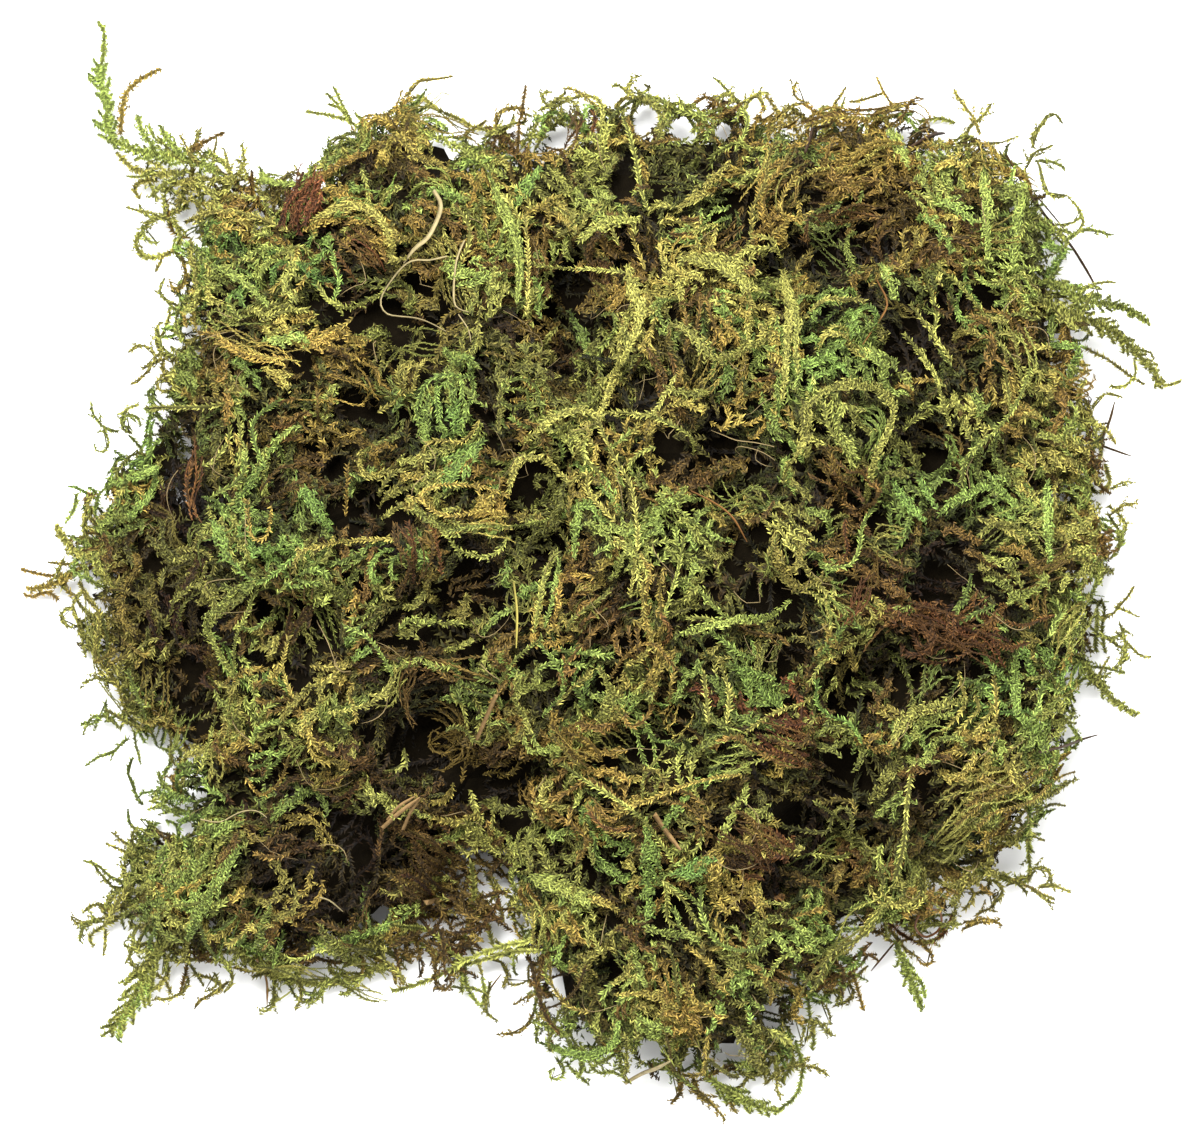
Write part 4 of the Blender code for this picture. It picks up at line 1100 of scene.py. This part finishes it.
fronds = {  # the single fronds that leave the clump: heights over the floor
    "frond_top_left": [
        ("plush", 5.6, .70, .95, [(-77, 79.5, 14), (-82, 82, 12), (-88, 83.3, 10), (-94, 84.3, 8),
         (-98.5, 86.5, 6)]),
        ("plush", 5.4, .74, .97, [(-98, 85, 6), (-100, 90, 5), (-99.7, 94, 4), (-100.5, 97, 4)]),
        ("plush", 6.6, .76, .97, [(-99.5, 94, 4), (-101.2, 98, 4), (-101.6, 102, 3)]),
        ("plume", 2.6, .70, 1.0, [(-101, 102, 3), (-100.5, 106, 3), (-100.8, 109.5, 2.5),
         (-102, 110.8, 2.5)]),
        ("plume", 3.6, .72, 1.05, [(-84, 83, 12), (-87.5, 86.5, 11), (-89, 89.5, 9)]),
        ("plume", 3.6, .72, 1.05, [(-90, 84.5, 10), (-92.5, 88, 9), (-93.5, 91.5, 8)]),
        ("plush", 2.8, .52, .9, [(-83, 80, 9), (-87, 79.5, 8), (-91, 79.5, 7), (-95, 81, 6), (-98, 84, 5)]),
        ("cord", 2.2, .52, .9, [(-75, 77, 11), (-80, 78.5, 11), (-85, 77.5, 9), (-89, 76, 7)]),
        ("plume", 2, .5, .9, [(-90, 78.3, 6), (-93.5, 77.8, 5), (-94.3, 76, 4), (-93.2, 74.6, 4)]),
        ("plume", 2.8, .42, .8, [(-97, 88, 6), (-96.8, 92, 6), (-96, 96, 5.5), (-94, 98, 5),
         (-92, 99.5, 4.5), (-89, 101, 4)]),
        ("plume", 2.2, .30, .7, [(-84, 83.5, 9), (-81, 85.3, 9), (-78.5, 86.7, 8), (-76, 88, 7)])],
    "wisp_left_upper": [
        ("plush", 4, .54, .95, [(-101, 2, 7), (-106, 3, 7), (-108.5, 5.5, 4), (-110.5, 8.5, 2.5)]),
        ("cord", 1.2, .5, .9, [(-106, 5, 5), (-103.5, 7, 4)])],
    "wisp_left_curly": [
        ("plush", 3.4, .44, .85, [(-104.5, 0, 8), (-109, -2.5, 5), (-112.5, -4, 3.5), (-116, -4.5, 2.5)]),
        ("cord", 1.2, .36, .9, [(-109, -2, 4), (-113, -1.5, 3), (-117.5, -.5, 2.5)]),
        ("cord", 1.0, .36, .9, [(-110, -6.5, 3), (-112, -5, 3), (-115, -6, 2.5), (-117, -5.5, 2)])],
    "frond_right": [
        ("plush", 6, .60, .92, [(88, 53.5, 24), (96, 50.5, 18), (101, 49, 14), (105.5, 46.3, 9),
         (109.5, 42.5, 5), (112.5, 39.5, 3), (113.5, 36.5, 2.3)]),
        ("plush", 5.4, .68, .95, [(90, 57, 22), (99, 53.5, 16), (103, 53, 13), (107, 52, 9),
         (111, 49.5, 6)]),
        ("cord", 1.4, .56, 1.0, [(108.5, 44, 6), (111.5, 43.5, 4), (112.3, 42, 3)]),
        ("cord", 1.5, .56, 1, [(112.5, 38.5, 3), (114.5, 36.8, 2.5), (118, 37.8, 2.2)])],
    "wisp_right_upper": [
        ("cord", 1.6, .50, .9, [(98, 44.2, 10), (103, 41.8, 7), (107, 39, 4), (110.5, 37, 2)])],
    "wisp_right_lower": [
        ("plush", 4, .62, .95, [(97, -19, 9), (100.5, -23, 6), (104.5, -27.5, 4), (109, -30, 2)]),
        ("cord", 1.6, .66, 1, [(98, -20, 8), (102.5, -20.5, 5), (106.5, -21.5, 3)])],
    "frond_bottom_left": [
        ("plush", 8.5, .62, .9, [(-88.5, -76, 9), (-91.5, -81, 6.5), (-94, -86, 5),
         (-96.5, -90.5, 3.5), (-99.5, -94.5, 2)]),
        ("plume", 4, .8, 1.1, [(-90, -81, 6), (-93, -87, 5), (-97, -92.5, 3), (-97.7, -96, 2)]),
        ("cord", 1.3, .5, .9, [(-90.5, -82, 5), (-88, -84, 4), (-87, -86.5, 3)])],
    "frond_bottom": [
        ("plush", 6, .68, 1.0, [(20, -101.5, 6), (24, -105, 5), (28, -107.6, 4), (32, -109.3, 3),
         (36.5, -110.5, 2)])],
    "frond_bottom_right": [
        ("plush", 4.6, .70, 1.05, [(60, -76.5, 9), (62, -81.5, 6), (64, -86, 4), (65.3, -90, 2.4)]),
        ("cord", 1.8, .74, 1.2, [(62, -81, 6), (65, -84, 4), (66, -87.5, 3)])],
    "wisp_bottom": [
        ("cord", 1.8, .66, 1.0, [(42, -87, 8), (42.5, -91, 5), (43.3, -95, 3), (43, -98, 2)]),
        ("cord", 1.4, .4, .9, [(50.5, -79, 8), (52, -85, 5), (53.5, -90, 3)])],
    "frond_top_spray": [
        ("cord", 1.8, .62, 1.1, [(-46, 84, 15), (-48, 87.5, 15), (-50.3, 89.7, 14), (-54, 91, 13),
         (-59.5, 92, 11)]),
        ("cord", 1.4, .66, 1.1, [(-50, 89.5, 14), (-51.8, 93, 12.5), (-54, 97.3, 10)]),
        ("cord", 1.6, .64, 1.1, [(-50.5, 90, 14), (-53, 93.3, 12), (-55.3, 95.8, 10.5)]),
        ("cord", 1.1, .64, 1, [(-52, 92.5, 12.5), (-55, 93.5, 11.5)])],
    "wisp_top": [
        ("cord", 1.1, .3, .95, [(-16.5, 85, 16), (-16.3, 89, 14), (-15.6, 93, 11.5), (-15, 97.5, 9)])],
    "frond_notch": [
        ("cord", 2.2, .58, 1, [(-26, -60, 13), (-25.5, -66, 10), (-27, -73, 6), (-28.5, -80, 3)])],
}


# an even line of points through the places
def smoothLine(places):
    ends = [places[0] * 2 - places[1], *places, places[-1] * 2 - places[-2]]
    line = []
    for a, b, c, d in zip(ends, ends[1:], ends[2:], ends[3:]):
        count = max(round((c - b).length / (laying["step"] * mm)), 1)
        for i in range(count):
            t = i / count
            line.append(0.5 * (2 * b + (c - a) * t + (2 * a - 5 * b + 4 * c - d) * t ** 2
                               + (3 * b - a - 3 * c + d) * t ** 3))
    return line + [places[-1].copy()]


handForm = {  # in mm; what the leaves add to the width of each kind, and the shades
    "overFloor": 0.8, "rayStart": 200.0, "lushLeaves": 1.4, "cordLeaves": 1.0, "cordGrowth": 1.15,
    "leastLush": 0.1, "leastCord": 0.3, "lushShade": 0.92, "cordShade": 0.95, "branched": 0.5,
    "plumeStem": 0.6, "plushStem": 1.0, "stemShade": 0.9, "branchShade": 0.95,
}
sideForms = {  # share of the width, mm off it, apart, thick and kind of the side shoots
    "plume": (0.7, 0.0, 0.75, 1.0, "fine"),
    "plush": (1.0, 0.6, 0.6, 1.0, "fine"),
    "loosePlush": (1.0, 1.2, 0.8, 0.1, "lush"),
}


def topUnder(point):
    return skinTree.ray_cast(Vector((point.x, point.y, handForm["rayStart"] * mm)), -up)[0]


def routePoints(route, overClump):
    line = smoothLine([Vector(place) * mm for place in route])
    if overClump:
        for point in line:
            hit = topUnder(point)
            point.z += hit.z if hit else 0.0
        for _ in range(2):
            heights = [point.z for point in line]
            for i in range(1, len(line) - 1):
                line[i].z = (heights[i - 1] + 2 * heights[i] + heights[i + 1]) / 4
    for point in line:
        point.z = max(point.z, handForm["overFloor"] * mm)
    return line


def isLoose(line):
    misses = sum(topUnder(point) is None for point in line)
    return misses > len(line) / 2


def layByHand(way, width, hue, shade, route, overClump, chance):
    line = routePoints(route, overClump)
    loose = not overClump or isLoose(line)
    if way == "bare":
        return [shootFrom(line, "bare", width, hue, shade, 0.0)]
    if way == "cord" and loose:
        thick = max((width - handForm["lushLeaves"]) / handForm["lushLeaves"], handForm["leastLush"])
        return [shootFrom(line, "lush", thick, hue, shade * handForm["lushShade"], 0.0)]
    if way == "cord":
        thick = max((width - handForm["cordLeaves"]) / handForm["cordGrowth"], handForm["leastCord"])
        made = [shootFrom(line, "cord", thick, hue, shade * handForm["cordShade"], 0.0)]
        if width > handForm["lushLeaves"] and chance.random() < handForm["branched"]:
            made += plannedBranches(line, hue, shade, 0.0, chance, "handCord")
        return made
    if way == "strands":
        return strandBundle(line, width, hue, shade, chance)
    stem = shootFrom(line, "lush" if loose else "cord", handForm[way + "Stem"], hue,
                     shade * handForm["stemShade"], 0.0)
    share, less, apart, thick, kind = sideForms["loosePlush" if way == "plush" and loose else way]
    return [stem] + branchShoots(line, hue, shade * handForm["branchShade"], 0.0, chance,
                                 width * share - less, apart, thick, kind)


strands = {  # strands for each mm of width; how they rise, sway and slant; tones
    "perWidth": 1.2, "rise": (-1.2, 1.0), "sway": (0.3, 1.2), "slant": 0.06, "waves": 0.55, "slanting": 0.3,
    "shortened": 4, "hue": 0.06, "shade": (0.5, 1.2), "thick": (0.6, 1.2),
    "kinds": ("strand", "strand", "cord"),
}


# thin strands that run along the route side by side, swaying and slanting a little
def strandBundle(line, width, hue, shade, chance):
    made = []
    for _ in range(round(width * strands["perWidth"])):
        sideways, rise = chance.uniform(-0.5, 0.5) * width, chance.uniform(*strands["rise"])
        phase, sway = chance.uniform(0, 6), chance.uniform(*strands["sway"])
        slant = chance.uniform(-strands["slant"], strands["slant"]) * width
        first = chance.randint(0, len(line) // strands["shortened"])
        last = len(line) - chance.randint(0, len(line) // strands["shortened"])
        strand = []
        for i in range(first, last):
            ahead = line[min(i + 1, len(line) - 1)] - line[max(i - 1, 0)]
            across = Vector((-ahead.y, ahead.x, 0)).normalized()
            waver = sway * math.sin(phase + i * strands["waves"])
            waver += slant * (i - len(line) / 2) * strands["slanting"]
            strand.append(line[i] + (across * (sideways + waver) + up * rise) * mm)
            strand[-1].z = max(strand[-1].z, handForm["overFloor"] * mm)
        if len(strand) > 3:
            kind, thick = chance.choice(strands["kinds"]), chance.uniform(*strands["thick"])
            ownHue = max(hue + chance.gauss(0, strands["hue"]), 0.0)
            ownShade = shade * chance.uniform(*strands["shade"])
            made.append(shootFrom(strand, kind, thick, ownHue, ownShade, 0.0))
    return made


def makeHandLaid():
    chance = random.Random("by hand")
    shoots = []
    for way, width, hue, shade, route in handLaid:
        shoots += layByHand(way, width, hue, shade, route, True, chance)
    piece = dressShoots("topShoots", shoots)
    finishPiece(piece, "moss")
    print(piece.name, len(piece.data.polygons), "faces")
    for node, parts in fronds.items():
        shoots = []
        for way, width, hue, shade, route in parts:
            shoots += layByHand(way, width, hue, shade, route, False, chance)
        piece = dressShoots(node + "_shoots", shoots)
        finishPiece(piece, "frond", node)
    print("fronds:", len(fronds))


makeHandLaid()


# loose shoots that bridge the gaps and fringe the outline

lacework = [  # x, y, radius, height in mm, number of shoots, hue, shade
    # the first three rows, dim brown in the left valley near x = -86, are painted shade
    (-88, -6, 8, 9, 16, .28, .38), (-83, -18, 7, 10, 14, .30, .38), (-86, 3, 6, 9, 12, .25, .4),
    (-85, -32, 7, 9, 14, .45, .6), (-98, 5, 5, 10, 8, .50, .8), (-76, 72, 6, 13, 14, .50, .85),
    (-70, 70, 5, 13, 10, .46, .85), (-83, 75, 5, 10, 9, .52, .9), (-79, 79, 5, 11, 10, .54, .95),
    (-82, 66, 5, 11, 9, .52, .9), (94, 53, 4, 18, 8, .60, .95), (-92, -67, 6, 8, 16, .60, .8),
    (-88, -74, 6, 7, 14, .58, .8), (-91, -57, 5, 8, 10, .64, .8), (-89, -60, 5, 7, 16, .60, .7),
    (-93, -66, 5, 5, 12, .56, .75), (-8, -86, 4, 5, 10, .40, .5), (35, -99, 4, 5, 12, .50, .85),
    (26, -103, 4, 4, 8, .45, .8), (-46, -60, 8, 9, 14, .24, .45), (-35, -64, 8, 7, 16, .26, .5),
    (-41, -70, 7, 7, 14, .3, .55), (-28, -72, 6, 9, 14, .26, .5), (-33, -78, 6, 7, 12, .28, .55),
    (-24, -64, 6, 9, 12, .3, .55), (-48, -68, 6, 8, 12, .28, .5), (-62, -76, 6, 7, 10, .5, .7),
    (-70, -80, 5, 6, 8, .5, .8), (-38, -60, 7, 8, 11, .24, .6), (-30, -66, 7, 7, 11, .26, .6),
    (-36, -72, 7, 6, 9, .34, .7), (-44, -78, 7, 6, 11, .50, .85), (-26, -74, 6, 6, 6, .50, .8),
    (-30, -84, 5, 4, 3, .60, 1), (-20, -82, 5, 5, 4, .55, .9), (-17, -70, 6, 8, 7, .50, .9),
    (-62, -81, 6, 5, 8, .60, .95), (-50, -84, 6, 5, 9, .62, 1), (-74, -79, 6, 5, 8, .50, .9),
    (-84, -78, 6, 6, 9, .55, .95), (-96, -72, 6, 6, 9, .56, .9), (-95, -62, 5, 7, 7, .62, 1),
    (-80, 77, 6, 14, 12, .55, .95), (-86, 68, 5, 9, 6, .60, 1), (-82, 58, 5, 8, 7, .56, .9),
    (-88, 80, 4, 8, 5, .60, 1), (16, -95, 7, 6, 12, .45, .65), (20, -100, 6, 5, 10, .45, .8),
    (-10, -90, 4, 7, 7, .4, .6), (0, -90, 6, 8, 8, .6, .8), (32, -99, 6, 4, 7, .55, .9),
    (38, -92, 6, 6, 8, .56, .9), (8, -97, 5, 5, 6, .60, 1), (-6, -96, 5, 4, 5, .70, 1.05),
    (48, -84, 6, 6, 7, .50, .9), (62, -74, 6, 6, 7, .45, .9), (74, -68, 6, 8, 7, .50, .9),
    (84, -62, 6, 8, 8, .56, 1), (98, -20, 5, 8, 6, .60, 1), (101, -10, 5, 9, 6, .60, 1),
    (100, 14, 5, 9, 6, .58, 1), (99, 34, 5, 12, 6, .55, 1), (-104, -4, 5, 7, 6, .50, .9),
    (-104, -16, 5, 6, 6, .56, .9), (-98, -28, 5, 6, 6, .60, .95), (-92, -38, 5, 6, 6, .70, 1),
    (-97, 24, 5, 10, 6, .60, .95), (-102, 12, 5, 8, 6, .80, 1), (-90, 40, 5, 12, 6, .50, .9),
    (-86, 50, 5, 12, 7, .60, .95), (-38, 93, 5, 14, 5, .50, .9), (-22, 88, 5, 14, 5, .50, .9),
    (-4, 92, 5, 13, 6, .56, .95), (10, 92, 5, 13, 6, .60, 1), (25, 90, 5, 13, 6, .60, 1),
    (44, 90, 5, 14, 6, .45, .95), (58, 91, 5, 14, 6, .40, .95), (72, 89, 5, 14, 5, .50, 1),
    (84, 84, 5, 14, 5, .60, 1), (92, 70, 5, 16, 5, .66, 1), (95, 56, 5, 16, 5, .60, 1),
]
lacing = {"count": (5, 9), "wander": 0.7, "thick": (0.7, 1.15), "branched": 0.65, "aged": 0.1,
          "height": (0.5, 1.3), "heading": 0.9, "rise": 0.25, "riseKept": 0.8, "riseGust": 0.15,
          "hue": 0.05, "shade": (0.8, 1.2)}


def laceShoot(x, y, radius, height, hue, shade, chance):
    angle, away = chance.uniform(0, math.tau), radius * math.sqrt(chance.random())
    place = Vector((x + away * math.cos(angle), y + away * math.sin(angle),
                    height * chance.uniform(*lacing["height"]))) * mm
    heading = angle + math.pi / 2 + chance.gauss(0, lacing["heading"])
    rise = chance.uniform(-lacing["rise"], lacing["rise"])
    points = []
    for turn in bendsAlong(chance.randint(*lacing["count"]), lacing["wander"], chance):
        points.append(place.copy())
        heading += turn
        rise = rise * lacing["riseKept"] + chance.gauss(0, lacing["riseGust"])
        place = place + Vector((math.cos(heading), math.sin(heading), rise)) * laying["step"] * mm
        place.z = max(place.z, handForm["overFloor"] * mm)
    hue = max(hue + chance.gauss(0, lacing["hue"]), 0.0)
    shade *= chance.uniform(*lacing["shade"])
    made = [shootFrom(points, "cord", chance.uniform(*lacing["thick"]), hue, shade, lacing["aged"])]
    if chance.random() < lacing["branched"]:
        made += plannedBranches(points, hue, shade, lacing["aged"], chance, "lace")
    return made


def makeLacework():
    chance = random.Random("lacework")
    shoots = []
    for x, y, radius, height, number, hue, shade in lacework:
        for _ in range(number):
            made = laceShoot(x, y, radius, height, hue, shade, chance)
            shoots += [shoot for shoot in made if not crossesGap(shoot["points"])]
    piece = dressShoots("looseShoots", shoots)
    finishPiece(piece, "moss")
    print(piece.name, len(shoots), "shoots")


makeLacework()


# thin pale fibres over the moss, and the caught grass and twigs

fibres = {"number": 110, "count": (5, 12), "wander": 0.45, "thick": (0.12, 0.26), "facesUp": 0.35,
          "ends": 1.2, "peak": (0.5, 2.5)}  # the ends lie that deep in mm, the middle stands that high
plainTone = (0.3, 1.0, 0.0)  # hue, shade and age, which a plain finish doesn't read
litter = {  # finish, then width and places (x, y, height over the clump) in mm
    "grass_blade_tan": ("paleStraw", [
        (1.1, [(-33, 75, 2), (-31.5, 71.5, 2.5), (-34, 65.5, 2.5), (-36.5, 63.5, 2.5), (-39, 60.5, 2)])]),
    "grass_stem_pale": ("paleStraw", [
        (.45, [(-30.5, 61.8, 2), (-34, 61, 2.5), (-38, 60.7, 2.5), (-42, 56.5, 3), (-43.8, 53, 4),
         (-42.5, 50.5, 5), (-37, 49.6, 5), (-34, 48.6, 4), (-30.5, 46.7, 2)]),
        (.55, [(-27, 65, 2), (-28.5, 61, 2.5), (-29, 55, 2.5), (-28.5, 51.5, 2), (-26, 50.5, 2)]),
        (.35, [(-28, 50, 2), (-26, 47, 2.5), (-25.5, 44.5, 2)])]),
    "grass_stem_lower_left": ("paleStraw", [
        (.4, [(-80, -50.5, 2), (-76, -51, 2.5), (-72, -49, 2.5), (-68.5, -48.7, 2.5), (-66.5, -50, 2)]),
        (.4, [(-56, -66, 2), (-54, -66.7, 2.5), (-51.5, -69, 2)])]),
    "straw_bottom": ("paleStraw", [(1.0, [(5, -104.5, 5), (9, -102, 7), (14, -99, 8)])]),
    "needle_brown": ("lightBark", [(1.1, [(-20.5, -25.5, 2), (-22.5, -30, 3), (-25, -35.5, 3)])]),
    "bark_sliver": ("lightBark", [(1.4, [(-35, -67.5, 5), (-29, -66.8, 7), (-25.5, -66, 7)])]),
    "bark_flake": ("lightBark", [
        (1.1, [(-43.5, -52, 2), (-40, -48.8, 3), (-36, -46, 3)]), (.8, [(-42.5, -50.5, 2),
         (-40, -47.5, 3), (-37, -45.8, 3)]),
        (.9, [(-39.5, -52.5, 2), (-38, -49, 2.5), (-36, -46.2, 2.5)])]),
    "twig_right": ("darkTwig", [
        (.7, [(88, -37, 1), (94, -35.8, 1.5), (98, -34.8, 1.5), (101, -34, 1.5)])]),
    "twig_top_right": ("darkTwig", [(1.0, [(62, 84, 1), (66, 86.5, 1.5), (70, 88, 1.5)])]),
    "stalk_top": ("darkTwig", [(.8, [(41, 83, 1), (42.3, 87, 1), (43, 91, 1)])]),
    "needle_dark": ("darkTwig", [
        (.7, [(86, 75, 2), (90.5, 71, 2.5), (95, 66, 2.5), (98.3, 61, 2.5), (100.5, 57, 2),
         (101.5, 54.5, 2)]),
        (.4, [(88, 76, 2), (93, 70, 2.5), (96, 66, 2)])]),
    "twig_middle": ("lightBark", [(1.3, [(11, -49, 2), (13, -52, 2.5), (16, -56, 2)])]),
}


def makeFibres():
    chance = random.Random("fibres")
    faces = [polygon for polygon in skin.data.polygons if polygon.normal.z > fibres["facesUp"]]
    ends = fibres["ends"]
    shoots = []
    for _ in range(fibres["number"]):
        face = chance.choice(faces)
        count = chance.randint(*fibres["count"])
        heading = Matrix.Rotation(chance.uniform(0, math.tau), 3, face.normal) @ face.normal.orthogonal()
        peak = chance.uniform(*fibres["peak"])
        depths = [ends - (peak + ends) * math.sin(math.pi * i / (count - 1)) for i in range(count)]
        turns = bendsAlong(count, fibres["wander"], chance)
        points = walk(face.center.copy(), heading.normalized(), turns, depths)
        shoots.append(shootFrom(points, "bare", chance.uniform(*fibres["thick"]), *plainTone))
    piece = dressShoots("paleFibres", shoots)
    piece.data.materials[0] = finishes["paleFibre"]
    finishPiece(piece, "straw")
    print(piece.name, len(shoots))


def makeLitter():
    for node, (finish, parts) in litter.items():
        shoots = [shootFrom(routePoints(route, True), "bare", width, *plainTone) for width, route in parts]
        piece = dressShoots(node + "_piece", shoots)
        piece.data.materials[0] = finishes[finish]
        finishPiece(piece, "straw" if finish == "paleStraw" else "twig", node)
    print("litter:", len(litter))


makeFibres()
makeLitter()


# the felt of old stems under the live shoots, near-black as painted shadow in the gaps

felt = {"depth": 9.0, "rough": 2.2, "grain": 6.0, "voxel": 0.0029, "thinning": 0.32, "open": 30.0,
        "bumps": (0.9, 2.2, 3), "probe": 0.0004, "overFloor": 0.0012}


def makeFelt():
    piece = skin
    piece.name = "oldStemFelt"
    moves = []
    for vertex in piece.data.vertices:
        inward = -vertex.normal
        hit = skinTree.ray_cast(vertex.co + inward * felt["probe"], inward)[0]
        thickness = (hit - vertex.co).length / mm if hit else felt["open"]
        rough = noise.fractal(vertex.co / (felt["grain"] * mm), *felt["bumps"]) * felt["rough"]
        moves.append(inward * min(felt["depth"] + rough, thickness * felt["thinning"]) * mm)
    for vertex, move in zip(piece.data.vertices, moves):
        vertex.co += move
        vertex.co.z = max(vertex.co.z, felt["overFloor"])
    applyModifier(piece, "REMESH", mode="VOXEL", voxel_size=felt["voxel"])
    piece.data.materials.clear()
    piece.data.materials.append(finishes["oldStemFelt"])
    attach(piece, "root")
    print("felt:", len(piece.data.polygons), "faces")


makeFelt()

# tidy the helpers away
for leaf in leaves.values():
    bpy.data.objects.remove(leaf)
